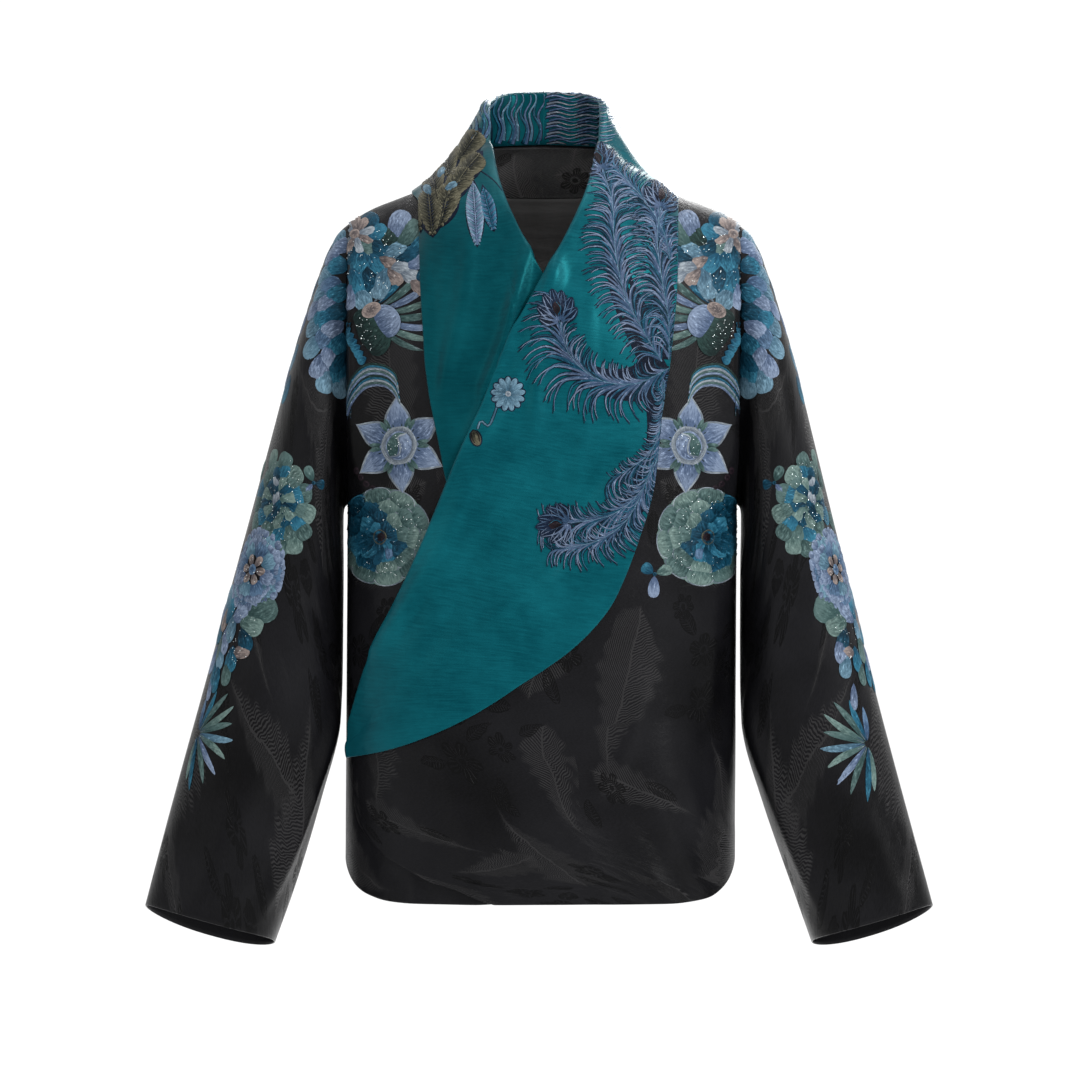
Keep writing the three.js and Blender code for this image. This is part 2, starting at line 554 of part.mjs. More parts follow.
function sleeve(side) {
  const around = 22;
  const column = (name, s) => look(SLEEVE, "s", name, s);
  const { outside, middle, reach, inside, from, to } = LEFT_SLEEVE;
  const share = side > 0 ? 1 : 0;
  const tuck = {
    outside: (s) => share * outside * Math.exp(-(((s - middle) / reach) ** 2)),
    inside: (s) => share * inside * smoothstep(s, from, to),
  };
  const sections = [0, 0.03, 0.06, 0.1, 0.15, 0.2, ...steps(0.26, 1, 12)];
  const skin = sections.map((s) => {
    const outer = new THREE.Vector3(column("outX", s) - tuck.outside(s), 0, column("outZ", s));
    const inner = new THREE.Vector3(column("inX", s) + tuck.inside(s), 0, column("inZ", s));
    const centre = outer.clone().lerp(inner, 0.5);
    const arm = outer.clone().sub(centre);
    const power = lerp(1, 2 / 2.25, smoothstep(s, 0, 0.2));
    return Array.from({ length: around }, (_, i) => {
      const turn = (i * 2 * Math.PI) / around;
      const front = signedPower(Math.sin(turn), power);
      const point = centre.clone().addScaledVector(arm, signedPower(Math.cos(turn), power));
      point.y = column("forward", s) - column("depth", s) * front;
      point.z += column("drop", s) * (front - 0.5 * front ** 2);
      const radial = point.clone().sub(centre).normalize();
      return point.addScaledVector(radial, sleeveFold(s, (i * 360) / around));
    });
  });
  const inner = skin.map((row, r) => row.map((point, c) => {
    const before = row[(c + around - 1) % around];
    const after = row[(c + 1) % around];
    const up = skin[Math.max(0, r - 1)][c];
    const down = skin[Math.min(skin.length - 1, r + 1)][c];
    const normal = after.clone().sub(before).cross(down.clone().sub(up)).normalize();
    if (r === 0) {
      normal.setX(0).normalize();
    }
    return point.clone().addScaledVector(normal, WALL);
  }));
  const mirror = (row) => row.map((p) => new THREE.Vector3(side * p.x, p.y, p.z));
  return wall(skin.map(mirror), inner.map(mirror), true);
}

function sleeveFold(s, turn) {
  const length = 560;
  const perDegree = 1.15;
  let height = 0;
  for (const fold of SLEEVE_FOLDS) {
    const run = new THREE.Vector2((fold.s1 - fold.s0) * length, (fold.turn1 - fold.turn0) * perDegree);
    const from = new THREE.Vector2((s - fold.s0) * length, (turn - fold.turn0) * perDegree);
    const along = from.dot(run) / run.lengthSq();
    const aside = Math.abs(from.cross(run)) / run.length();
    const ends = smoothstep(along, -0.1, 0.4) * (1 - smoothstep(along, 0.8, 1.1));
    height += fold.out * ends * Math.exp(-((aside / fold.half) ** 2));
  }
  return height;
}

// Cloths
const jacquard = new THREE.MeshStandardMaterial({ color: 0x232327, roughness: 0.55, metalness: 0 });
const satin = new THREE.MeshStandardMaterial({ color: 0x1b747c, roughness: 0.32, metalness: 0 });
const lining = new THREE.MeshStandardMaterial({ color: 0x1c1c1f, roughness: 0.4, metalness: 0 });

const PIECES = [
  { name: "back", geometry: backLayer(0, 0, BACK_COLUMNS.length - 1, {}), cloth: jacquard },
  { name: "front_right", geometry: underFront(), cloth: jacquard },
  { name: "front_left", geometry: overFront(), cloth: jacquard },
  { name: "sleeve_left", geometry: sleeve(1), cloth: jacquard },
  { name: "sleeve_right", geometry: sleeve(-1), cloth: jacquard },
  {
    name: "collar_left",
    geometry: collarHalf({ side: 1, plan: OVER_LAPEL, edgeTable: OVER_EDGE, lift: overLift, rowCount: 36 }),
    cloth: satin,
  },
  {
    name: "collar_right",
    geometry: collarHalf({ side: -1, plan: UNDER_LAPEL, edgeTable: UNDER_EDGE, lift: noLift, rowCount: 18 }),
    cloth: satin,
  },
  {
    name: "neck_facing",
    geometry: backLayer(INSIDE, 0, FACING_COLUMNS, { lastRow: FACING_ROWS }),
    cloth: jacquard,
  },
  {
    name: "lining_back",
    geometry: backLayer(INSIDE, 1, LINING_COLUMNS, { firstRow: FACING_ROWS }),
    cloth: lining,
  },
];

const group = new THREE.Group();
for (const { name, geometry, cloth } of PIECES) {
  const mesh = new THREE.Mesh(geometry, cloth.clone());
  mesh.name = name;
  group.add(mesh);
}

export default group;
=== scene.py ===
"""Dresses a worn wrap jacket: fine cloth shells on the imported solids, figures, stitching and a studio."""

import logging
import math
from dataclasses import dataclass, field
from enum import Enum
from typing import Callable, Iterable, Optional, Sequence

import bpy
import numpy as np
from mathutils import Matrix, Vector
from mathutils.bvhtree import BVHTree


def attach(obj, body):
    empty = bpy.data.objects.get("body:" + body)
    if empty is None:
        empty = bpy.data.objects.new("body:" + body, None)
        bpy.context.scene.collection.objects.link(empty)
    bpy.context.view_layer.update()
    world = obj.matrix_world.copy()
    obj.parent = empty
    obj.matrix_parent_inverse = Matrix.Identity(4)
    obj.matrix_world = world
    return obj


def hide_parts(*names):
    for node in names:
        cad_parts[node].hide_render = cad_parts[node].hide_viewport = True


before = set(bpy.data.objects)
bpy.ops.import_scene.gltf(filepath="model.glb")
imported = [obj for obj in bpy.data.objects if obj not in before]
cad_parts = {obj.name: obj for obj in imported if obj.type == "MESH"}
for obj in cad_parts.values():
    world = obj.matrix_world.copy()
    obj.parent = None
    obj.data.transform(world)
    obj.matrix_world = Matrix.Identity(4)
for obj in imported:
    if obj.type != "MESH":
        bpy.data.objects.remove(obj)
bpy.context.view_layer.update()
LOG = logging.getLogger("wrap_jacket")
MM = 0.001
Array = np.ndarray


class Layer(Enum):
    """Which cloth a crease is pressed into."""

    FRONT_OVER = "over front"
    FRONT_UNDER = "under front"
    BACK = "back"
    LINING = "lining"
    LAPEL_OVER = "over lapel"
    LAPEL_UNDER = "under lapel"
    SLEEVE_LEFT = "left sleeve"
    SLEEVE_RIGHT = "right sleeve"


def blend_step(value: Array, low: float, high: float) -> Array:
    """Rises smoothly from 0 at low to 1 at high.

    Args:
        value: Numbers to test.
        low: Where the rise starts.
        high: Where it ends.

    Returns:
        Shares from 0 to 1.
    """
    t = np.clip((np.asarray(value, float) - low) / (high - low), 0, 1)
    return t * t * (3 - 2 * t)


def signed_power(value: Array, power: Array) -> Array:
    """Raises sizes to a power and keeps their signs."""
    return np.sign(value) * np.abs(value) ** power


def mix(a: Array, b: Array, share: Array) -> Array:
    """Goes from a to b by a share."""
    return a + (b - a) * share


def unit(vectors: Array) -> Array:
    """Scales vectors to length 1."""
    return vectors / np.maximum(np.linalg.norm(vectors, axis=-1, keepdims=True), 1e-12)


@dataclass(frozen=True)
class Curve:
    """A smooth line through (key, value) rows that never overshoots them."""

    rows: tuple[tuple[float, float], ...]

    def __call__(self, key: Array) -> Array:
        """Reads the line.

        Args:
            key: Places along it.

        Returns:
            Its values there.
        """
        keys, values = np.array(sorted(self.rows), float).T
        slopes = np.diff(values) / np.diff(keys)
        before, after = slopes[:-1], slopes[1:]
        total = np.where(before * after > 0, before + after, 1.0)
        inner = np.where(before * after > 0, 2 * before * after / total, 0.0)
        tangents = np.concatenate(([slopes[0]], inner, [slopes[-1]]))
        key = np.clip(np.asarray(key, float), keys[0], keys[-1])
        i = np.clip(np.searchsorted(keys, key, side="right") - 1, 0, len(keys) - 2)
        width = keys[i + 1] - keys[i]
        t = (key - keys[i]) / width
        leave = t**3 - 2 * t**2 + t
        arrive = t**3 - t**2
        along = 3 * t**2 - 2 * t**3
        line = mix(values[i], values[i + 1], along)
        return line + width * (leave * tangents[i] + arrive * tangents[i + 1])


def columns(names: str, rows: Sequence[Sequence[float]]) -> dict[str, Curve]:
    """Makes a curve of each column of a table over its first column.

    Args:
        names: Column names, the key column first.
        rows: The table's rows.

    Returns:
        A curve for each name after the first.
    """
    keys = [row[0] for row in rows]
    return {
        name: Curve(tuple(zip(keys, (row[i + 1] for row in rows))))
        for i, name in enumerate(names.split()[1:])
    }


@dataclass(frozen=True)
class Crease:
    """A soft ridge or trough along a bowed line, in the cloth's own millimetres."""

    start: tuple[float, float]
    end: tuple[float, float]
    half: float
    out: float
    bow: float = 0.0
    beside: float = 0.0
    fade: tuple[float, float, float, float] = (-0.25, 0.35, 1.0, 1.3)

    def height(self, across: Array, down: Array) -> Array:
        """Tells how far the crease lifts the cloth.

        Args:
            across: Places across the cloth.
            down: Places down it.

        Returns:
            Heights, with a trough of the share `beside` next to the ridge.
        """
        run = np.subtract(self.end, self.start)
        length = float(np.hypot(*run))
        a, b = across - self.start[0], down - self.start[1]
        along = (a * run[0] + b * run[1]) / length**2
        aside = (a * run[1] - b * run[0]) / length - 4 * self.bow * along * (1 - along)
        ends = blend_step(along, *self.fade[:2]) * (1 - blend_step(along, *self.fade[2:]))
        ridge = np.exp(-((aside / self.half) ** 2))
        trough = np.exp(-(((aside - 1.7 * self.half) / (1.2 * self.half)) ** 2))
        return self.out * ends * (ridge - self.beside * trough)


def crease_height(creases: Iterable[Crease], across: Array, down: Array) -> Array:
    """Adds up the heights of several creases."""
    total = np.zeros(np.broadcast(across, down).shape)
    for crease in creases:
        total = total + crease.height(across, down)
    return total


SLEEVE_FADE = (-0.1, 0.4, 0.8, 1.1)


@dataclass
class BodyForm:
    """The jacket's body as a worn form, in millimetres. A level is 0 on the shoulder line, 1 on the
    chest line and 1 more each 100 mm below; a face is -1 in front and 1 behind."""

    wall: float = 1.2
    seam: float = 0.3
    layer: float = 2.2
    half_width: float = 177.0
    corner: float = 2.5
    chest: float = -154.0
    underarm: float = -282.0
    hem: float = -638.0
    armhole: float = 52.0
    level_step: float = 100.0
    lean: float = 0.006
    hem_rise: float = 37.0
    hem_reach: float = 57.0
    neck_half: float = 60.0
    neck_height: float = 50.0
    shoulder: Curve = Curve((
        (0, 60), (20, 58), (40, 54), (50, 50.5), (60, 46), (72, 30), (85, 18), (100, 9), (118, 2),
        (135, -4.5), (154, -12), (167, -19), (177, -26),
    ))
    depth_front: Curve = Curve(((-154, 122), (-220, 123), (-330, 119), (-450, 117), (-560, 118),
                                (-640, 120)))
    depth_back: Curve = Curve(((-154, 112), (-220, 109), (-330, 103), (-450, 103), (-560, 107), (-640, 111)))
    folds_front: tuple[Crease, ...] = (
        Crease((92, 390), (132, 590), 26, 4.5),
        Crease((135, 360), (163, 520), 20, -4),
        Crease((30, 460), (62, 595), 30, -3.5),
        Crease((-148, 470), (-120, 590), 24, 3),
        Crease((-35, 490), (-45, 595), 34, 3),
    )
    folds_back: tuple[Crease, ...] = (
        Crease((-95, 260), (-118, 595), 34, 6),
        Crease((100, 300), (116, 595), 32, 5.5),
        Crease((-20, 340), (-30, 595), 38, -5),
        Crease((55, 400), (50, 595), 26, 4),
        Crease((-135, 170), (-70, 320), 24, -4),
        Crease((138, 180), (78, 310), 22, -3.5),
    )

    @property
    def hem_level(self) -> float:
        """Level of the hem at the centre."""
        return 1 + (self.chest - self.hem) / self.level_step

    @property
    def underarm_level(self) -> float:
        """Level of the underarm."""
        return 1 + (self.chest - self.underarm) / self.level_step

    def turn_of(self, x: Array) -> Array:
        """Turn round the body of a distance from its centre."""
        return np.sign(x) * np.arcsin(np.minimum(1, np.abs(x) / self.half_width) ** (self.corner / 2))

    def x_of(self, turn: Array) -> Array:
        """Distance from the centre of a turn round the body."""
        return self.half_width * signed_power(np.sin(turn), 2 / self.corner)

    def arch_power(self, face: int, turn: Array) -> Array:
        """How full the arch over the shoulder is: rounder in front, squarer near the spine."""
        return 2 + np.zeros_like(turn) if face < 0 else 2 + np.cos(turn) ** 2

    def point(self, face: int, turn: Array, level: Array) -> Array:
        """Places points on the body.

        Args:
            face: -1 for the front, 1 for the back.
            turn: Turns round the body.
            level: Levels down it.

        Returns:
            Points, before the jacket's lean.
        """
        turn, level = np.broadcast_arrays(np.asarray(turn, float), np.asarray(level, float))
        above = level < 1
        x = self.x_of(turn)
        z = np.where(above, self.chest, self.chest - (level - 1) * self.level_step)
        folds = self.folds_front if face < 0 else self.folds_back
        depths = self.depth_front if face < 0 else self.depth_back
        fullness = np.abs(np.cos(turn)) ** (2 / self.corner)
        down = (self.chest - z) / (self.chest - self.underarm)
        armhole = np.where(above, self.armhole, self.armhole * np.sqrt(np.maximum(0, 1 - down**2)))
        depth = (depths(z) + crease_height(folds, x, level * self.level_step)) * fullness
        depth = depth + armhole * np.abs(np.sin(turn)) ** 10
        arch = 2 / self.arch_power(face, turn)
        angle = np.where(above, level, 0) * math.pi / 2
        rise = (self.shoulder(np.abs(x)) - self.chest) * np.cos(angle) ** arch
        y = face * depth * np.where(above, signed_power(np.sin(angle), arch), 1)
        return np.stack([x, y, np.where(above, self.chest + rise, z)], axis=-1)

    def normal(self, face: int, turn: Array, level: Array) -> Array:
        """Outward directions at points on the body."""
        step = 0.002
        across = self.point(face, turn + step, level) - self.point(face, turn - step, level)
        down = self.point(face, turn, level + step) - self.point(face, turn, level - step)
        return unit(np.cross(across, down) * face)

    def on_body(self, face: int, x: Array, level: Array, out: Array) -> Array:
        """Points at a distance out from the body."""
        x, level, out = np.broadcast_arrays(np.asarray(x, float), level, out)
        turn = self.turn_of(x)
        return self.point(face, turn, level) + self.normal(face, turn, level) * out[..., None]

    def over_shoulder(self, x: float, level: float, out: float) -> Array:
        """One point out from the body, with a level below 0 in front of the shoulder line."""
        return self.on_body(-1 if level < 0 else 1, np.array(x), np.array(abs(level)), np.array(out))

    def neckline_level(self, x: Array) -> Array:
        """Level of the back neckline at distances from the centre."""
        reach = np.minimum(np.abs(x), self.neck_half)
        edge = float(self.shoulder(self.neck_half))
        cut = mix(self.neck_height, edge, (reach / self.neck_half) ** 2)
        share = np.minimum(1, (cut - self.chest) / (self.shoulder(reach) - self.chest))
        level = np.arccos(share ** (self.arch_power(1, self.turn_of(reach)) / 2)) / (math.pi / 2)
        return np.where(np.abs(x) >= self.neck_half, 0, level)

    def hem_at(self, face: int, x: Array) -> Array:
        """Level of the hem, which curves up to each side seam."""
        y = np.abs(self.point(face, self.turn_of(x), np.full_like(x, self.hem_level))[..., 1])
        from_seam = np.hypot(y, self.half_width - np.abs(x))
        rise = self.hem_rise * np.exp(-((from_seam / self.hem_reach) ** 2))
        return self.hem_level - rise / self.level_step

    def leaned(self, points: Array) -> Array:
        """Leans finished points as the worn jacket hangs."""
        moved = points.copy()
        moved[..., 0] += self.lean * (moved[..., 2] - self.hem)
        return moved


@dataclass
class WrapForm:
    """How the two fronts and their lapels lie over the body."""

    body: BodyForm = field(default_factory=BodyForm)
    roll: Curve = Curve((
        (0, 57), (0.078, 53.5), (0.149, 48.2), (0.353, 43), (0.437, 39.4), (0.513, 33.9), (0.603, 24.5),
        (0.694, 12.4), (0.778, -2.5), (0.866, -18), (1, -38), (1.38, -54.2), (1.89, -77), (2.65, -107.5),
        (3.53, -146), (3.81, -156.5), (4.23, -168),
    ))
    free: Curve = Curve((
        (4.23, -168), (4.45, -168), (4.65, -165), (4.9, -164.5), (5.11, -161), (5.26, -151.9), (5.41, -138),
        (5.52, -120), (5.64, -98), (5.72, -72), (5.8, -53), (5.845, -39),
    ))
    free_from: float = 4.23
    panel_setback: float = 3.8
    neck_setback: float = 3.0
    hidden_reach: float = 105.0

    def roll_x(self, level: Array) -> Array:
        """Where the over lapel rolls back."""
        return self.roll(np.maximum(0, level))

    def setback(self, level: Array) -> Array:
        """How far a front's cut edge lies behind the roll line."""
        reach = 0.05
        run = self.roll_x(level + reach) - self.roll_x(level - reach)
        slope = run / (2 * reach * self.body.level_step)
        near_neck = self.neck_setback * (1 - blend_step(level, 0.1, 0.35))
        return self.panel_setback * np.hypot(1, slope) + near_neck

    def over_lift(self, x: Array, level: Array) -> Array:
        """How far the over front stands off the body, over the under front and its lapel."""
        beneath = np.minimum(-self.roll_x(level), self.hidden_reach)
        return (1 - blend_step(x - beneath, 5, 60)) * 2 * self.body.layer

    def no_lift(self, x: Array, level: Array) -> Array:
        """Nothing lies beneath the under front."""
        return np.zeros(np.broadcast(x, level).shape)


@dataclass
class Cloth:
    """A finished sheet: its outer and inner points in millimetres and its flat coordinates."""

    outer: Array
    inner: Array
    ring: bool = False
    edge_round: float = 0.35
    flat: Array = field(init=False)

    def __post_init__(self) -> None:
        """Lays the sheet out flat by its lengths across and down."""
        closed = self.closed(self.outer)
        across = np.linalg.norm(np.diff(closed, axis=1), axis=-1)
        down = np.linalg.norm(np.diff(closed, axis=0), axis=-1)
        u = np.concatenate([np.zeros((len(closed), 1)), np.cumsum(across, axis=1)], axis=1)
        v = np.concatenate([np.zeros((1, closed.shape[1])), np.cumsum(down, axis=0)], axis=0)
        u = u - u.mean(axis=1, keepdims=True)
        self.flat = np.stack([u, -v], axis=-1)

    def closed(self, grid: Array) -> Array:
        """A grid with its first column again at its end, if the sheet is a tube."""
        return np.concatenate([grid, grid[:, :1]], axis=1) if self.ring else grid

    def area(self) -> float:
        """The outer face's area in square metres."""
        p = self.closed(self.outer)
        first = np.cross(p[1:, :-1] - p[:-1, :-1], p[1:, 1:] - p[:-1, :-1])
        second = np.cross(p[1:, 1:] - p[:-1, :-1], p[:-1, 1:] - p[:-1, :-1])
        return float((np.linalg.norm(first, axis=-1) + np.linalg.norm(second, axis=-1)).sum() / 2e6)

    def tree(self) -> BVHTree:
        """A search tree of the outer face, in metres."""
        rows, cols = self.outer.shape[:2]
        index = self.closed(np.arange(rows * cols).reshape(rows, cols))
        quads = np.stack([index[:-1, :-1], index[1:, :-1], index[1:, 1:], index[:-1, 1:]], axis=-1)
        points = (self.outer * MM).reshape(-1, 3)
        return BVHTree.FromPolygons(points.tolist(), quads.reshape(-1, 4).tolist())

    def build(self, name: str, outside: bpy.types.Material, inside: bpy.types.Material) -> bpy.types.Object:
        """Makes the sheet as a closed shell with softly rounded edges.

        Args:
            name: The object's name.
            outside: Finish of its outer face and edges.
            inside: Finish of its inner face.

        Returns:
            The new object.
        """
        rows, cols = self.outer.shape[:2]
        count = rows * cols
        index = self.closed(np.arange(count).reshape(rows, cols))
        flat = np.arange(rows * self.flat.shape[1]).reshape(rows, -1)
        corners = [(slice(None, -1), slice(None, -1)), (slice(1, None), slice(None, -1)),
                   (slice(1, None), slice(1, None)), (slice(None, -1), slice(1, None))]
        outer = np.stack([index[c] for c in corners], axis=-1).reshape(-1, 4)
        outer_flat = np.stack([flat[c] for c in corners], axis=-1).reshape(-1, 4)
        faces = [outer, outer[:, ::-1] + count]
        flats = [outer_flat, outer_flat[:, ::-1]]
        slots = [np.zeros(len(outer), int), np.ones(len(outer), int)]
        points = [self.outer.reshape(-1, 3), self.inner.reshape(-1, 3)]
        used = 2 * count
        borders = [(index[0], index[1], flat[0], 1), (index[-1], index[-2], flat[-1], -1)]
        if not self.ring:
            borders += [(index[:, 0], index[:, 1], flat[:, 0], -1),
                        (index[:, -1], index[:, -2], flat[:, -1], 1)]
        both = np.concatenate(points)
        for edge, behind, edge_flat, sense in borders:
            middle = (both[edge] + both[edge + count]) / 2
            outward = unit(both[edge] - both[behind])
            thickness = np.linalg.norm(both[edge] - both[edge + count], axis=-1)[:, None]
            middle = middle + outward * self.edge_round * thickness
            rim = used + np.arange(len(edge))
            used += len(edge)
            points.append(middle)
            for low, high in ((edge, rim), (rim, edge + count)):
                quads = np.stack([low[:-1], low[1:], high[1:], high[:-1]], axis=-1)[:, ::sense]
                laid = np.stack([edge_flat[:-1], edge_flat[1:], edge_flat[1:], edge_flat[:-1]], axis=-1)
                faces.append(quads)
                flats.append(laid[:, ::sense])
                slots.append(np.zeros(len(quads), int))
        vertices = np.concatenate(points)
        faces, flats, slots = (np.concatenate(part) for part in (faces, flats, slots))
        a, b, c, d = (vertices[faces[:, i]] for i in range(4))
        volume = (np.einsum("ij,ij->i", a, np.cross(b, c)) + np.einsum("ij,ij->i", a, np.cross(c, d))).sum()
        if volume < 0:
            faces, flats = faces[:, ::-1], flats[:, ::-1]
        laid = self.flat.reshape(-1, 2)[flats.reshape(-1)] * MM
        made = mesh_object(name, vertices * MM, faces, laid)
        made.data.materials.append(outside)
        made.data.materials.append(inside)
        made.data.polygons.foreach_set("material_index", slots)
        return made


def mesh_object(name: str, points: Array, faces: Array, flat: Optional[Array] = None) -> bpy.types.Object:
    """Makes a smooth object of points and faces.

    Args:
        name: Its name.
        points: Places in metres.
        faces: Corner numbers, three or four to a face.
        flat: Flat cloth coordinates in metres, one for each corner of each face.

    Returns:
        The object, linked to the scene.
    """
    mesh = bpy.data.meshes.new(name)
    mesh.from_pydata(np.asarray(points).tolist(), [], np.asarray(faces).tolist())
    if flat is not None:
        mesh.uv_layers.new(name="cloth").data.foreach_set("uv", np.asarray(flat, np.float32).ravel())
    mesh.polygons.foreach_set("use_smooth", np.ones(len(mesh.polygons), bool))
    mesh.update()
    made = bpy.data.objects.new(name, mesh)
    bpy.context.scene.collection.objects.link(made)
    return made


def grid_normals(grid: Array) -> Array:
    """Directions square to a grid of points, along its rows crossed with its columns."""
    along = np.gradient(grid, axis=0)
    across = np.gradient(grid, axis=1)
    return unit(np.cross(along, across))


def spline(points: Array, count: int) -> Array:
    """Puts a smooth line through points and samples it evenly by their numbers.

    Args:
        points: Points along the first axis.
        count: How many samples to take.

    Returns:
        The samples.
    """
    at = np.linspace(0, len(points) - 1, count)
    i = np.minimum(at.astype(int), len(points) - 2)
    t = (at - i).reshape(-1, *[1] * (points.ndim - 1))
    p0, p1 = points[np.maximum(i - 1, 0)], points[i]
    p2, p3 = points[i + 1], points[np.minimum(i + 2, len(points) - 1)]
    return 0.5 * (2 * p1 + (p2 - p0) * t + (2 * p0 - 5 * p1 + 4 * p2 - p3) * t**2
                  + (3 * p1 - p0 - 3 * p2 + p3) * t**3)


@dataclass
class Panel:
    """A panel of the body between an inner and an outer edge, from its top to its hem."""

    name: str
    body: BodyForm
    face: int
    inner: Callable[[Array], Array]
    outer: Callable[[Array], Array]
    top: Callable[[Array], Array]
    hem: Callable[[Array], Array]
    lift: Callable[[Array, Array], Array]
    creases: tuple[Crease, ...] = ()
    shares: Array = field(default_factory=lambda: np.linspace(0, 1, 60))
    shoulder_rows: int = 36
    armhole_rows: int = 28
    skirt_rows: int = 84
    press: float = 1.0
    closing: float = 1.2
    shoulder_from: float = 0.0
    shoulder_only: bool = False
    shoulder_to: float = 1.0
    settle_passes: int = 14

    def levels(self, x: Array) -> Array:
        """Levels of the panel's rows at distances from the centre."""
        shoulder = np.linspace(self.shoulder_from, self.shoulder_to, self.shoulder_rows + 1)[:, None]
        upper = mix(self.top(x[: len(shoulder)]), 1, shoulder)
        if self.shoulder_only:
            return upper
        armhole = np.sin(np.linspace(0, 1, self.armhole_rows + 1)[1:, None] * math.pi / 2)
        skirt = 1 - (1 - np.linspace(0, 1, self.skirt_rows + 1)[1:, None]) ** self.closing
        middle = mix(1, self.body.underarm_level, armhole) + np.zeros((len(armhole), x.shape[1]))
        lower = mix(self.body.underarm_level, self.hem(x[-len(skirt):]), skirt)
        return np.concatenate([upper, middle, lower])

    def cloth(self) -> Cloth:
        """Works the panel's points out.

        Returns:
            The finished sheet.
        """
        rows = self.shoulder_rows + 1 + (0 if self.shoulder_only else self.armhole_rows + self.skirt_rows)
        x = np.zeros((rows, len(self.shares)))
        level = self.levels(x)
        for _ in range(self.settle_passes):
            turn = mix(self.body.turn_of(self.inner(level)), self.body.turn_of(self.outer(level)),
                       self.shares)
            x = self.body.x_of(turn)
            level = self.levels(x)
        fold = crease_height(self.creases, x, level * self.body.level_step)
        out = self.lift(x, level) + np.where(fold > 0, self.press * fold, fold)
        skins = []
        for inward in (0.0, -self.body.wall):
            points = self.body.on_body(self.face, x, level, out + inward)
            points[..., 1] += self.face * self.body.seam / 2
            skins.append(self.body.leaned(points))
        return Cloth(skins[0], skins[1])


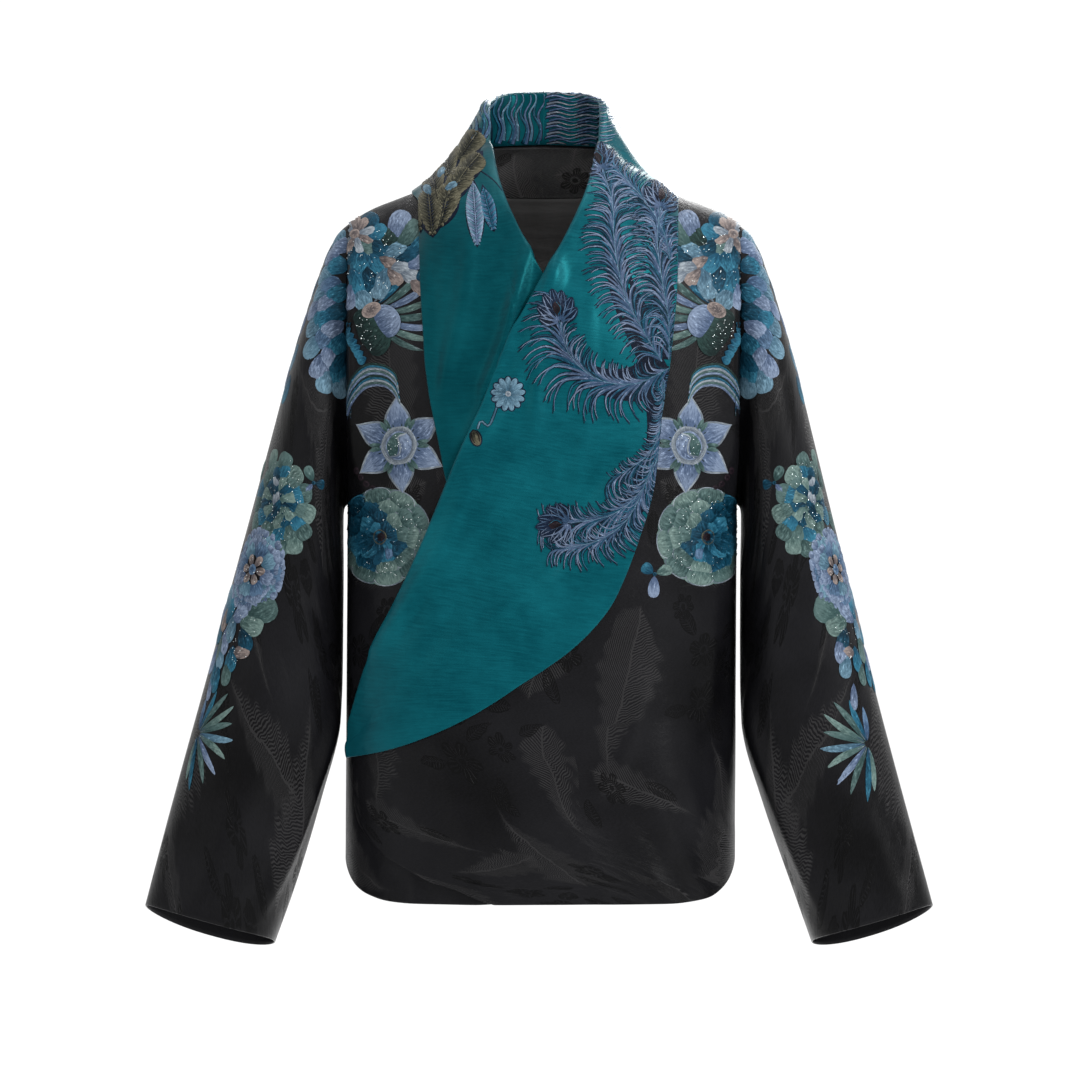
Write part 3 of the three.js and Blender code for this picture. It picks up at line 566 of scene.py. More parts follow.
@dataclass
class CollarHalf:
    """One half of the shawl collar: its stand, fold and fall round the neck, then its lapel."""

    name: str
    wrap: WrapForm
    side: int
    plan: dict[str, Curve]
    last_key: float
    edge: Curve
    lift: Callable[[Array, Array], Array]
    row_count: int
    creases: tuple[Crease, ...] = ()
    stations: dict[str, Curve] = field(default_factory=lambda: columns(
        "key x y z out ring edge_x edge_level",
        (
            (0, 0.15, 62, 99, 90, 0.15, 0.15, 0.6), (1, 28, 58, 98, 75, 27, 54, 0.565),
            (2, 45, 41, 93, 42, 45, 92, 0.345), (3, 54, 14, 86, 10, 56, 116, 0.13),
            (4, 54, -9, 72, -12, 57.5, 119, -0.12),
        ),
    ))
    turned: tuple[tuple[float, float], ...] = (
        (3, -1.3), (1.4, -1.2), (0.3, -0.2), (0, 1.3), (0.9, 2.7), (3.2, 3.4), (9, 3.3), (20, 2.6),
    )
    fold_radius: float = 4.5
    fall_columns: int = 8
    root_gap: float = 1.8
    edge_spring: float = 0.6
    back_rise: float = 1.5
    side_sag: float = 14.0
    press: float = 2.3
    finer_rows: int = 6
    finer_edge: int = 3
    finer_fall: int = 7
    neck_rows: int = 11
    press_inset: int = 12

    def neckline(self, key: float) -> Array:
        """Where the collar's root runs, before it is moved past the neckline's cut edge."""
        ring = float(self.stations["ring"](key))
        level = float(mix(self.wrap.body.neckline_level(ring), -0.06, blend_step(key, 3, 4)))
        return self.wrap.body.over_shoulder(ring, level, -self.wrap.body.wall - 0.1)

    def root(self, key: float) -> Array:
        """The collar's root at a place round the neck."""
        body, step = self.wrap.body, 0.05
        run = self.neckline(min(4, key + step)) - self.neckline(max(0, key - step))
        ring = float(self.stations["ring"](key))
        level = float(mix(body.neckline_level(ring), -0.06, blend_step(key, 3, 4)))
        outward = body.over_shoulder(ring, level, 1) - body.over_shoulder(ring, level, 0)
        return self.neckline(key) + unit(np.cross(run, outward)) * self.root_gap

    def neck_row(self, key: float) -> Array:
        """Points of the collar from its root over its fold to its outer edge.

        Args:
            key: Place round the neck, 0 at the centre back and 4 at the front.

        Returns:
            A row of points.
        """
        at = {name: float(curve(key)) for name, curve in self.stations.items()}
        out = np.array([math.cos(math.radians(at["out"])), math.sin(math.radians(at["out"])), 0])
        up = np.array([0.0, 0.0, 1.0])
        centre = np.array([at["x"], at["y"], at["z"]]) - up * self.fold_radius
        root = self.root(key)
        if key == 0:
            root[0] = at["x"]
        inside = centre - out * self.fold_radius
        row = [root, (root + inside) / 2, inside]
        for angle in np.radians((135, 90, 45, 0)):
            row.append(centre + (out * math.cos(angle) + up * math.sin(angle)) * self.fold_radius)
        start = row[-1]
        end = self.wrap.body.over_shoulder(at["edge_x"], at["edge_level"], self.wrap.body.layer + 0.6)
        sag = float(mix(self.back_rise, -self.side_sag, blend_step(key, 1, 3)))
        control = (start + end) / 2 + up * sag
        for t in np.linspace(0, 1, len(self.turned) + self.fall_columns - len(row) + 1)[1:]:
            row.append(mix(mix(start, control, t), mix(control, end, t), t))
        return np.array(row) * np.array([self.side, 1, 1])

    def lapel_row(self, key: float) -> Array:
        """Points of the lapel from its rolled edge to its outer edge.

        Args:
            key: Row of the plan.

        Returns:
            A row of points.
        """
        at = {name: float(curve(key)) for name, curve in self.plan.items()}
        body = self.wrap.body
        roll_at = self.side * float(self.wrap.roll_x(at["roll"]))
        edge_at = self.side * float(self.edge(at["edge"]))
        span = math.hypot(edge_at - roll_at, (at["edge"] - at["roll"]) * body.level_step)
        shares, heights = [], []
        for inset, height in self.turned:
            full = mix(body.layer, height, at["fullness"]) if height > body.layer else height
            shares.append(min(inset, span * 0.5) / span)
            heights.append(full + at["spring"] * 0.2 * float(blend_step(inset, 3, 20)))
        start = min(20, span * 0.5) / span
        for t in np.linspace(0, 1, self.fall_columns + 1)[1:]:
            settle = float(mix(0.4 * at["fullness"], self.edge_spring, blend_step(t, 0, 0.3)))
            shares.append(float(mix(start, 1, t)))
            heights.append(body.layer + settle + at["spring"] * math.sin(math.pi * float(mix(0.07, 1, t))))
        x = mix(roll_at, edge_at, np.array(shares))
        level = mix(at["roll"], at["edge"], np.array(shares))
        return body.on_body(-1, x, level, np.array(heights) + self.lift(x, level))

    def cloth(self) -> Cloth:
        """Works the collar half's points out on a finer grid than its solid's.

        Returns:
            The finished sheet.
        """
        neck = [self.neck_row(key) for key in np.linspace(0, 4, self.neck_rows)]
        front = [self.lapel_row(key) for key in np.linspace(0, self.last_key, self.row_count + 1)]
        coarse = np.array([*neck, (neck[-1] + front[0]) / 2, *front])
        down = spline(coarse, (len(coarse) - 1) * self.finer_rows + 1)
        edge_count = len(self.turned) - 1
        fine = spline(down.transpose(1, 0, 2), (coarse.shape[1] - 1) * self.finer_edge * self.finer_fall + 1)
        per_column = self.finer_edge * self.finer_fall
        keep = [*range(0, edge_count * per_column, self.finer_fall),
                *range(edge_count * per_column, fine.shape[0], self.finer_edge)]
        seen = fine[keep].transpose(1, 0, 2)
        normals = grid_normals(seen) * self.side
        normals[0, :, 0] = 0
        normals = unit(normals)
        lift = crease_height(self.creases, seen[..., 0], -seen[..., 2])
        inset = np.minimum(np.arange(seen.shape[1]), np.arange(seen.shape[1])[::-1])
        pressed = np.where(lift > 0, self.press * lift, lift) * blend_step(inset, 0, self.press_inset)
        seen = seen + normals * pressed[..., None]
        hidden = seen - normals * self.wrap.body.wall
        return Cloth(self.wrap.body.leaned(seen), self.wrap.body.leaned(hidden))


@dataclass
class SleeveForm:
    """A hanging sleeve: s runs from 0 at the armhole to 1 at the cuff, and a turn is 0 outside,
    90 degrees in front, 180 inside and 270 behind."""

    body: BodyForm
    side: int
    creases: tuple[Crease, ...] = ()
    length: float = 560.0
    per_degree: float = 1.15
    sections: dict[str, Curve] = field(default_factory=lambda: columns(
        "s out_x out_z in_x in_z depth forward drop",
        (
            (0, 177.3, -26, 177.3, -282, 52, 0, 0), (0.03, 186, -34, 179.4, -284, 55, 0, 0),
            (0.06, 193, -46, 180.5, -288, 58, 0, 0), (0.1, 200.5, -63, 181, -295, 62, 0, 0),
            (0.16, 212, -97, 181, -309, 67, 0, 0), (0.24, 228, -150, 180.6, -331, 72, -1, 1),
            (0.34, 247, -223, 180.4, -361, 74, -2, 2), (0.44, 266, -296, 180.4, -396, 73, -4, 3),
            (0.54, 285, -368, 180.6, -436, 70, -7, 5), (0.64, 304, -441, 182, -478, 66, -11, 6),
            (0.76, 323.5, -514, 199, -549, 61, -16, 8), (0.88, 342.5, -587, 220, -621, 56, -22, 9),
            (1, 357, -645, 239.5, -677, 51, -28, 10),
        ),
    ))
    folds: tuple[Crease, ...] = (
        Crease((90, 136), (280, 172), 16, -5, fade=SLEEVE_FADE),
        Crease((291, 182), (515, 161), 17, 4.5, fade=SLEEVE_FADE),
        Crease((314, 136), (504, 124), 15, -3, fade=SLEEVE_FADE),
        Crease((168, 80), (347, 115), 20, -3, fade=SLEEVE_FADE),
        Crease((56, 274), (269, 244), 18, -5, fade=SLEEVE_FADE),
        Crease((224, 328), (370, 276), 18, -4, fade=SLEEVE_FADE),
        Crease((336, 301), (532, 287), 18, 3.5, fade=SLEEVE_FADE),
    )
    tuck_outside: float = 3.9
    tuck_inside: float = 6.5
    cap_share: float = 0.2
    cap_rows: int = 34
    arm_rows: int = 120
    around: int = 112

    def skin(self, s: Array, turn: Array) -> Array:
        """Places points on a left sleeve, or on a right one seen in a mirror.

        Args:
            s: Shares of the way to the cuff.
            turn: Turns round the sleeve in degrees.

        Returns:
            Points, before the jacket's lean.
        """
        s, turn = np.broadcast_arrays(np.asarray(s, float), np.asarray(turn, float))
        at = {name: curve(s) for name, curve in self.sections.items()}
        left = 1.0 if self.side > 0 else 0.0
        out_x = at["out_x"] - left * self.tuck_outside * np.exp(-(((s - 0.72) / 0.3) ** 2))
        in_x = at["in_x"] + left * self.tuck_inside * blend_step(s, 0.68, 0.92)
        centre = np.stack([(out_x + in_x) / 2, np.zeros_like(s), (at["out_z"] + at["in_z"]) / 2], axis=-1)
        arm = np.stack([(out_x - in_x) / 2, np.zeros_like(s), (at["out_z"] - at["in_z"]) / 2], axis=-1)
        power = mix(1, 2 / 2.25, blend_step(s, 0, 0.2))
        angle = np.radians(turn)
        front = signed_power(np.sin(angle), power)
        points = centre + arm * signed_power(np.cos(angle), power)[..., None]
        points[..., 1] = at["forward"] - at["depth"] * front
        points[..., 2] += at["drop"] * (front - 0.5 * front**2)
        across, down = (turn % 360) * self.per_degree, s * self.length
        lift = crease_height(self.folds, down, across) + 1.4 * crease_height(self.creases, down, across)
        return points + unit(points - centre) * lift[..., None]

    def outward(self, s: Array, turn: Array) -> Array:
        """Directions out from the sleeve's skin."""
        low, high = np.clip(s - 0.002, 0, 1), np.clip(s + 0.002, 0, 1)
        around = self.skin(s, turn + 0.5) - self.skin(s, turn - 0.5)
        along = self.skin(high, turn) - self.skin(low, turn)
        return unit(np.cross(around, along))

    def mirrored(self, points: Array) -> Array:
        """Puts points on the sleeve's own side and leans them."""
        return self.body.leaned(points * np.array([self.side, 1, 1]))

    def cloth(self) -> Cloth:
        """Works the sleeve's points out.

        Returns:
            The finished tube.
        """
        cap = np.linspace(0, self.cap_share, self.cap_rows)[:-1]
        s = np.concatenate([cap, np.linspace(self.cap_share, 1, self.arm_rows)])[:, None]
        turn = (np.arange(self.around) * 360 / self.around + 180)[None, :]
        skin = self.skin(s, turn)
        normal = self.outward(*np.broadcast_arrays(s, turn))
        normal[0, :, 0] = 0
        normal = unit(normal)
        return Cloth(self.mirrored(skin), self.mirrored(skin - normal * self.body.wall), ring=True)


class Term:
    """A number worked out by material nodes, so that node sums read as plain arithmetic."""

    def __init__(self, tree: bpy.types.NodeTree, socket: bpy.types.NodeSocket) -> None:
        """Holds an output socket of a tree."""
        self.tree = tree
        self.socket = socket

    def apply(self, operation: str, *others: "Term | float") -> "Term":
        """Adds a math node.

        Args:
            operation: The node's operation.
            others: Its further inputs.

        Returns:
            Its result.
        """
        node = self.tree.nodes.new("ShaderNodeMath")
        node.operation = operation
        self.tree.links.new(self.socket, node.inputs[0])
        for place, other in enumerate(others, start=1):
            if isinstance(other, Term):
                self.tree.links.new(other.socket, node.inputs[place])
            else:
                node.inputs[place].default_value = other
        return Term(self.tree, node.outputs[0])

    def __add__(self, other: "Term | float") -> "Term":
        """Adds."""
        return self.apply("ADD", other)

    def __sub__(self, other: "Term | float") -> "Term":
        """Takes away."""
        return self.apply("SUBTRACT", other)

    def __mul__(self, other: "Term | float") -> "Term":
        """Multiplies."""
        return self.apply("MULTIPLY", other)

    def __truediv__(self, other: "Term | float") -> "Term":
        """Divides."""
        return self.apply("DIVIDE", other)

    def size(self) -> "Term":
        """Drops the sign."""
        return self.apply("ABSOLUTE")

    def below(self, other: "Term | float") -> "Term":
        """1 where it is less than the other, else 0."""
        return self.apply("LESS_THAN", other)

    def most(self, other: "Term | float") -> "Term":
        """The larger of the two."""
        return self.apply("MAXIMUM", other)

    def least(self, other: "Term | float") -> "Term":
        """The smaller of the two."""
        return self.apply("MINIMUM", other)

    def sine(self) -> "Term":
        """Its sine."""
        return self.apply("SINE")

    def ramp(self, low: float, high: float, start: float = 0.0, end: float = 1.0) -> "Term":
        """Maps low to high smoothly onto start to end."""
        node = self.tree.nodes.new("ShaderNodeMapRange")
        node.interpolation_type = "SMOOTHSTEP"
        self.tree.links.new(self.socket, node.inputs["Value"])
        for name, value in (("From Min", low), ("From Max", high), ("To Min", start), ("To Max", end)):
            node.inputs[name].default_value = value
        return Term(self.tree, node.outputs["Result"])


class NodeSheet:
    """The nodes of one material, laid by short calls."""

    def __init__(self, name: str) -> None:
        """Starts a material with a principled shader and the cloth's flat coordinates.

        Args:
            name: The material's name.
        """
        self.material = bpy.data.materials.new(name)
        self.material.use_nodes = True
        self.tree = self.material.node_tree
        self.shader = self.tree.nodes["Principled BSDF"]
        self.flat = self.tree.nodes.new("ShaderNodeUVMap")
        self.flat.uv_map = "cloth"
        self.place = self.tree.nodes.new("ShaderNodeTexCoord").outputs["Object"]

    def set(self, **values: float | tuple[float, ...]) -> None:
        """Sets uniform values on the shader's own sockets, named with _ for spaces."""
        for name, value in values.items():
            self.shader.inputs[name.replace("_", " ")].default_value = value

    def link(self, output: "bpy.types.NodeSocket | Term", name: str) -> None:
        """Feeds one of the shader's sockets."""
        socket = output.socket if isinstance(output, Term) else output
        self.tree.links.new(socket, self.shader.inputs[name])

    def across(self) -> Term:
        """Metres across the cloth."""
        return Term(self.tree, self._split().outputs[0])

    def down(self) -> Term:
        """Metres up the cloth."""
        return Term(self.tree, self._split().outputs[1])

    def _split(self) -> bpy.types.Node:
        """Splits the flat coordinates once."""
        if not hasattr(self, "_parts"):
            self._parts = self.tree.nodes.new("ShaderNodeSeparateXYZ")
            self.tree.links.new(self.flat.outputs[0], self._parts.inputs[0])
        return self._parts

    def stretched(self, turn: float, scale: tuple[float, float, float],
                  flat: bool = True) -> bpy.types.NodeSocket:
        """Turns and scales the cloth's coordinates for a texture.

        Args:
            turn: Turn in degrees about the cloth's normal.
            scale: Scale along each axis.
            flat: Whether to use the flat cloth's coordinates, or the object's.

        Returns:
            The coordinates.
        """
        mapping = self.tree.nodes.new("ShaderNodeMapping")
        mapping.inputs["Rotation"].default_value = (0, 0, math.radians(turn))
        mapping.inputs["Scale"].default_value = scale
        self.tree.links.new(self.flat.outputs[0] if flat else self.place, mapping.inputs["Vector"])
        return mapping.outputs[0]

    def noise(self, vector: bpy.types.NodeSocket, scale: float, detail: float = 2,
              rough: float = 0.5) -> Term:
        """Cloudy numbers round 0.5."""
        node = self.tree.nodes.new("ShaderNodeTexNoise")
        node.inputs["Scale"].default_value = scale
        node.inputs["Detail"].default_value = detail
        node.inputs["Roughness"].default_value = rough
        self.tree.links.new(vector, node.inputs["Vector"])
        return Term(self.tree, node.outputs["Fac"])

    def colours(self, value: Term,
                stops: Sequence[tuple[float, tuple[float, float, float]]]) -> bpy.types.NodeSocket:
        """Turns numbers into colours.

        Args:
            value: Numbers from 0 to 1.
            stops: Places and their colours.

        Returns:
            The colour.
        """
        node = self.tree.nodes.new("ShaderNodeValToRGB")
        ramp = node.color_ramp
        while len(ramp.elements) < len(stops):
            ramp.elements.new(0.5)
        for element, (place, colour) in zip(ramp.elements, stops):
            element.position = place
            element.color = (*colour, 1)
        self.tree.links.new(value.socket, node.inputs[0])
        return node.outputs[0]

    def blend(self, share: "Term | float", a: bpy.types.NodeSocket,
              b: "bpy.types.NodeSocket | tuple") -> bpy.types.NodeSocket:
        """Mixes two colours."""
        node = self.tree.nodes.new("ShaderNodeMix")
        node.data_type = "RGBA"
        if isinstance(share, Term):
            self.tree.links.new(share.socket, node.inputs["Factor"])
        else:
            node.inputs["Factor"].default_value = share
        self.tree.links.new(a, node.inputs[6])
        if isinstance(b, tuple):
            node.inputs[7].default_value = (*b, 1)
        else:
            self.tree.links.new(b, node.inputs[7])
        return node.outputs[2]

    def raise_by(self, height: Term, depth: float) -> None:
        """Adds bump of a depth in metres, over what bump there is."""
        node = self.tree.nodes.new("ShaderNodeBump")
        node.inputs["Distance"].default_value = depth
        self.tree.links.new(height.socket, node.inputs["Height"])
        if self.shader.inputs["Normal"].is_linked:
            self.tree.links.new(self.shader.inputs["Normal"].links[0].from_socket, node.inputs["Normal"])
        self.tree.links.new(node.outputs[0], self.shader.inputs["Normal"])


def figure_group(name: str, inputs: Sequence[str], draw: Callable[..., Term]) -> bpy.types.NodeTree:
    """Makes a node group of one woven figure.

    Args:
        name: The group's name.
        inputs: Names of its number inputs.
        draw: Works the figure's mask out from terms of those inputs.

    Returns:
        The group, with the output Mask.
    """
    group = bpy.data.node_groups.new(name, "ShaderNodeTree")
    for label in inputs:
        group.interface.new_socket(label, in_out="INPUT", socket_type="NodeSocketFloat")
    group.interface.new_socket("Mask", in_out="OUTPUT", socket_type="NodeSocketFloat")
    start = group.nodes.new("NodeGroupInput")
    end = group.nodes.new("NodeGroupOutput")
    mask = draw(*(Term(group, start.outputs[label]) for label in inputs))
    group.links.new(mask.socket, end.inputs["Mask"])
    return group


def plume_mask(p: Term, q: Term, length: Term, width: Term, bend: Term) -> Term:
    """A woven frond of fine barbs that slant out from a bowed rib."""
    along = p / length
    aside = q - bend * along * along
    envelope = width * along.ramp(0.0, 0.75) * along.ramp(1.04, 0.86)
    reach = aside.size()
    frayed = (along * 61.0).sine() * 0.1 + 0.95
    inside = (envelope * frayed - reach).ramp(0.0, 0.008) * along.below(1.03) * (along * -1.0).below(0.0)
    barbs = ((p - reach * 0.95) * 2300.0).sine().ramp(-0.2, 0.5)
    rib = reach.below(0.0009)
    return inside * barbs.most(rib)


def blossom_mask(p: Term, q: Term, radius: Term, petals: Term) -> Term:
    """A woven blossom with veined petals round a small eye."""
    distance = (p * p + q * q).apply("SQRT")
    angle = q.apply("ARCTAN2", p)
    wave = (angle * petals * 0.5).apply("COSINE").size()
    edge = radius * (wave.apply("POWER", 0.6) * 0.55 + 0.45)
    inside = distance.below(edge)
    veins = (angle * petals * 4.0).sine().ramp(-0.9, -0.2)
    gap = (edge - distance).below(0.0012)
    eye = distance.below(radius * 0.16)
    ring = (distance - radius * 0.24).size().below(0.001)
    return (inside * veins.most(gap)).most(eye) * (ring * -1.0 + 1.0)


def leaf_mask(p: Term, q: Term, length: Term, width: Term) -> Term:
    """A woven leaf with a rib and slanting veins."""
    along = (p / length).apply("MAXIMUM", 0.0).least(1.0)
    envelope = width * (along * (along * -1.0 + 1.0) * 4.0).apply("POWER", 0.8)
    reach = q.size()
    veins = ((p - reach * 0.8) * 2300.0).sine().ramp(-0.7, 0.0)
    return (reach.below(envelope) * veins.most((envelope - reach).below(0.0009))
            * (reach * -1.0).below(-0.0005))


@dataclass(frozen=True)
class Figure:
    """Where one woven figure lies in the repeat, in metres and degrees."""

    kind: str
    across: float
    down: float
    turn: float
    sizes: tuple[float, ...]


@dataclass(frozen=True)
class JacquardFinish:
    """Charcoal black cloth with figures woven in a duller thread on a sheeny ground."""

    name: str = "jacquard"
    ground: tuple[float, float, float] = (0.0019, 0.0019, 0.0023)
    line: tuple[float, float, float] = (0.0150, 0.0147, 0.0152)
    flora: tuple[float, float, float] = (0.0002, 0.0002, 0.0003)
    repeat_width: float = 0.215
    repeat_height: float = 0.27
    figures: tuple[Figure, ...] = (
        Figure("plume", 0.040, 0.030, 78, (0.175, 0.034, 0.040)),
        Figure("plume", 0.165, 0.235, -70, (0.170, 0.032, -0.036)),
        Figure("plume", 0.100, 0.175, 22, (0.130, 0.026, 0.030)),
        Figure("plume", 0.190, 0.060, 118, (0.120, 0.024, -0.028)),
        Figure("plume", 0.070, 0.240, 160, (0.110, 0.022, 0.024)),
        Figure("blossom", 0.115, 0.060, 10, (0.019, 5)),
        Figure("blossom", 0.152, 0.088, 40, (0.013, 6)),
        Figure("blossom", 0.185, 0.196, 0, (0.016, 5)),
        Figure("blossom", 0.030, 0.228, 20, (0.014, 6)),
        Figure("leaf", 0.122, 0.082, 60, (0.030, 0.0065)),
        Figure("leaf", 0.100, 0.052, 200, (0.028, 0.006)),
        Figure("leaf", 0.135, 0.045, -40, (0.032, 0.007)),
        Figure("leaf", 0.168, 0.105, 55, (0.026, 0.006)),
        Figure("leaf", 0.190, 0.150, 130, (0.034, 0.007)),
        Figure("leaf", 0.060, 0.245, -15, (0.030, 0.0065)),
        Figure("leaf", 0.012, 0.180, 100, (0.030, 0.006)),
        Figure("blossom", 0.098, 0.105, 30, (0.017, 5)),
        Figure("blossom", 0.062, 0.140, 70, (0.012, 6)),
        Figure("leaf", 0.118, 0.120, 15, (0.030, 0.007)),
        Figure("leaf", 0.084, 0.118, 140, (0.032, 0.007)),
        Figure("leaf", 0.150, 0.030, 100, (0.028, 0.006)),
    )

    def masks(self, sheet: NodeSheet) -> tuple[Term, Term]:
        """Lays the figures out in a half-drop repeat.

        Args:
            sheet: The material's nodes.

        Returns:
            Two masks: 1 on the fine light lines and 1 on the dark leaves and blossoms, else 0.
        """
        draws = {
            "plume": figure_group("woven_frond", ("p", "q", "length", "width", "bend"), plume_mask),
            "blossom": figure_group("woven_blossom", ("p", "q", "radius", "petals"), blossom_mask),
            "leaf": figure_group("woven_leaf", ("p", "q", "length", "width"), leaf_mask),
        }
        wander = sheet.noise(sheet.stretched(0, (1, 1, 1)), 14, 1) - 0.5
        quiver = sheet.noise(sheet.stretched(0, (1, 1, 1)), 95, 1) - 0.5
        u = sheet.across() + wander * 0.012 + quiver * 0.0045
        column = (u / self.repeat_width).apply("FLOOR")
        half = column.apply("MODULO", 2.0).size() * (self.repeat_height * 0.5)
        v = sheet.down() + half + wander * 0.009 - quiver * 0.0045
        totals: dict[bool, Term] = {}
        for figure in self.figures:
            du = (u - figure.across).apply("WRAP", self.repeat_width / 2, -self.repeat_width / 2)
            dv = (v - figure.down).apply("WRAP", self.repeat_height / 2, -self.repeat_height / 2)
            cosine, sine = math.cos(math.radians(figure.turn)), math.sin(math.radians(figure.turn))
            node = sheet.tree.nodes.new("ShaderNodeGroup")
            node.node_tree = draws[figure.kind]
            is_plume = figure.kind == "plume"
            shift = figure.sizes[0] / 2 if is_plume else 0.0
            p = du * cosine + dv * sine + shift
            q = dv * cosine - du * sine
            sheet.tree.links.new(p.socket, node.inputs["p"])
            sheet.tree.links.new(q.socket, node.inputs["q"])
            for place, size in enumerate(figure.sizes, start=2):
                node.inputs[place].default_value = size
            mask = Term(sheet.tree, node.outputs["Mask"])
            totals[is_plume] = totals[is_plume].most(mask) if is_plume in totals else mask
        return totals[True], totals[False]

    def make(self) -> bpy.types.Material:
        """Makes the material.

        Returns:
            The finished material.
        """
        sheet = NodeSheet(self.name)
        lines, flora = self.masks(sheet)
        cloud = sheet.noise(sheet.stretched(0, (1, 1, 1), flat=False), 9, 3)
        weave = sheet.noise(sheet.stretched(28, (420, 1700, 1)), 1, 2)
        ground = sheet.colours(cloud * 0.55 + weave * 0.45, (
            (0.36, tuple(c * 0.4 for c in self.ground)), (0.64, tuple(c * 2.6 for c in self.ground)),
        ))
        woven = sheet.blend(lines * (weave * 0.9 + 0.35), ground, self.line)
        sheet.link(sheet.blend(flora * 0.85, woven, self.flora), "Base Color")
        dull = (cloud - 0.5) * 0.2 + (weave - 0.5) * 0.12 + flora * 0.2 + 0.36
        sheet.link(dull, "Roughness")
        sheet.set(Specular_IOR_Level=0.055, Sheen_Weight=0.0)
        sheet.raise_by(lines - flora, 0.00025)
        sheet.raise_by(weave, 0.00015)
        sheet.raise_by(sheet.noise(sheet.stretched(20, (26, 42, 1)), 1, 3, 0.55), 0.0009)
        return sheet.material


@dataclass(frozen=True)
class SatinFinish:
    """Smooth satin with soft mottling, fine slubs and broad dull highlights."""

    name: str
    deep: tuple[float, float, float]
    lit: tuple[float, float, float]
    roughness: float = 0.42
    gloss: float = 0.05
    tint: tuple[float, float, float] = (1.0, 1.0, 1.0)
    slub_turn: float = 35.0
    pucker: float = 0.0009

    def make(self) -> bpy.types.Material:
        """Makes the material.

        Returns:
            The finished material.
        """
        sheet = NodeSheet(self.name)
        cloud = sheet.noise(sheet.stretched(15, (1, 0.55, 1), flat=False), 16, 4, 0.6)
        slub = sheet.noise(sheet.stretched(self.slub_turn, (55, 480, 1)), 1, 3, 0.6)
        speck = sheet.noise(sheet.stretched(0, (1, 1, 1)), 900, 2)
        tone = cloud * 0.55 + slub * 0.3 + speck * 0.15
        sheet.link(sheet.colours(tone, ((0.3, self.deep), (0.72, self.lit))), "Base Color")
        sheet.link((cloud - 0.5) * 0.25 + (slub - 0.5) * 0.12 + self.roughness, "Roughness")
        sheet.set(Specular_IOR_Level=self.gloss, Sheen_Weight=0.0, Specular_Tint=(*self.tint, 1.0))
        sheet.raise_by(sheet.noise(sheet.stretched(self.slub_turn, (34, 15, 1)), 1, 3, 0.6), self.pucker)
        sheet.raise_by(slub, 0.00010)
        sheet.raise_by(speck, 0.00003)
        return sheet.material


@dataclass
class Studio:
    """A plain pale floor, soft lights and the camera of the photograph."""

    eye_height: float = -0.314
    distance: float = 5.0
    frame_width: float = 0.9828
    sensor: float = 36.0
    floor_height: float = -1.25
    pale: tuple[float, float, float] = (0.97, 0.97, 0.97)

    def camera(self) -> None:
        """Sets the camera level with the middle of the frame."""
        data = bpy.data.cameras.new("camera")
        data.sensor_width = self.sensor
        data.lens = self.sensor * self.distance / self.frame_width
        made = bpy.data.objects.new("camera", data)
        made.location = (0, -self.distance, self.eye_height)
        made.rotation_euler = (math.radians(90), 0, 0)
        bpy.context.scene.collection.objects.link(made)
        bpy.context.scene.camera = made

    def floor(self) -> None:
        """Lays the floor out to where it meets the backdrop's light."""
        reach = 60.0
        corners = [(-reach, -reach), (reach, -reach), (reach, reach), (-reach, reach)]
        points = np.array([(x, y, self.floor_height) for x, y in corners])
        made = mesh_object("floor", points, [[0, 1, 2, 3]])
        sheet = NodeSheet("floor_paint")
        grain = sheet.noise(sheet.place, 3, 2)
        tint = tuple(c * 0.985 for c in self.pale)
        sheet.link(sheet.colours(grain, ((0.3, tint), (0.7, self.pale))), "Base Color")
        sheet.set(Roughness=0.9, Specular_IOR_Level=0.2)
        made.data.materials.append(sheet.material)

    def lamp(self, name: str, place: tuple[float, float, float], width: float, height: float,
             power: float) -> None:
        """Hangs a soft box that faces the jacket's middle.

        Args:
            name: The lamp's name.
            place: Where it hangs, in metres.
            width: Its width.
            height: Its height.
            power: Its power in watts.
        """
        data = bpy.data.lights.new(name, "AREA")
        data.shape = "RECTANGLE"
        data.size, data.size_y, data.energy = width, height, power
        made = bpy.data.objects.new(name, data)
        made.location = place
        made.rotation_euler = (Vector((0, 0, -0.3)) - Vector(place)).to_track_quat("-Z", "Y").to_euler()
        bpy.context.scene.collection.objects.link(made)

    def build(self) -> None:
        """Sets up the whole studio."""
        self.camera()
        self.floor()
        world = bpy.data.worlds.new("studio")
        bpy.context.scene.world = world
        world.use_nodes = True
        world.node_tree.nodes["Background"].inputs[0].default_value = (1, 1, 1, 1)
        world.node_tree.nodes["Background"].inputs[1].default_value = 1.09
        self.lamp("key", (2.7, -2.4, 1.6), 1.2, 1.2, 200)
        self.lamp("fill", (-2.6, -2.3, 0.5), 1.2, 1.8, 18)
        self.lamp("top", (0.2, -0.4, 2.2), 1.6, 1.2, 60)
        self.lamp("back", (0.6, 2.8, 1.4), 1.6, 1.4, 90)
        bpy.context.scene.view_settings.view_transform = "Standard"


def floss(red: int, green: int, blue: int, share: float = 0.27) -> tuple[float, float, float]:
    """Turns a colour as it looks in the studio's light into the shaders' linear one.

    Args:
        red: Its red from 0 to 255.
        green: Its green.
        blue: Its blue.
        share: The share of the studio's light that the cloth sends back as white.

    Returns:
        The linear colour.
    """
    seen = (np.array([red, green, blue]) / 255 + 0.055) / 1.055
    return tuple(float(c) for c in seen**2.4 * share)


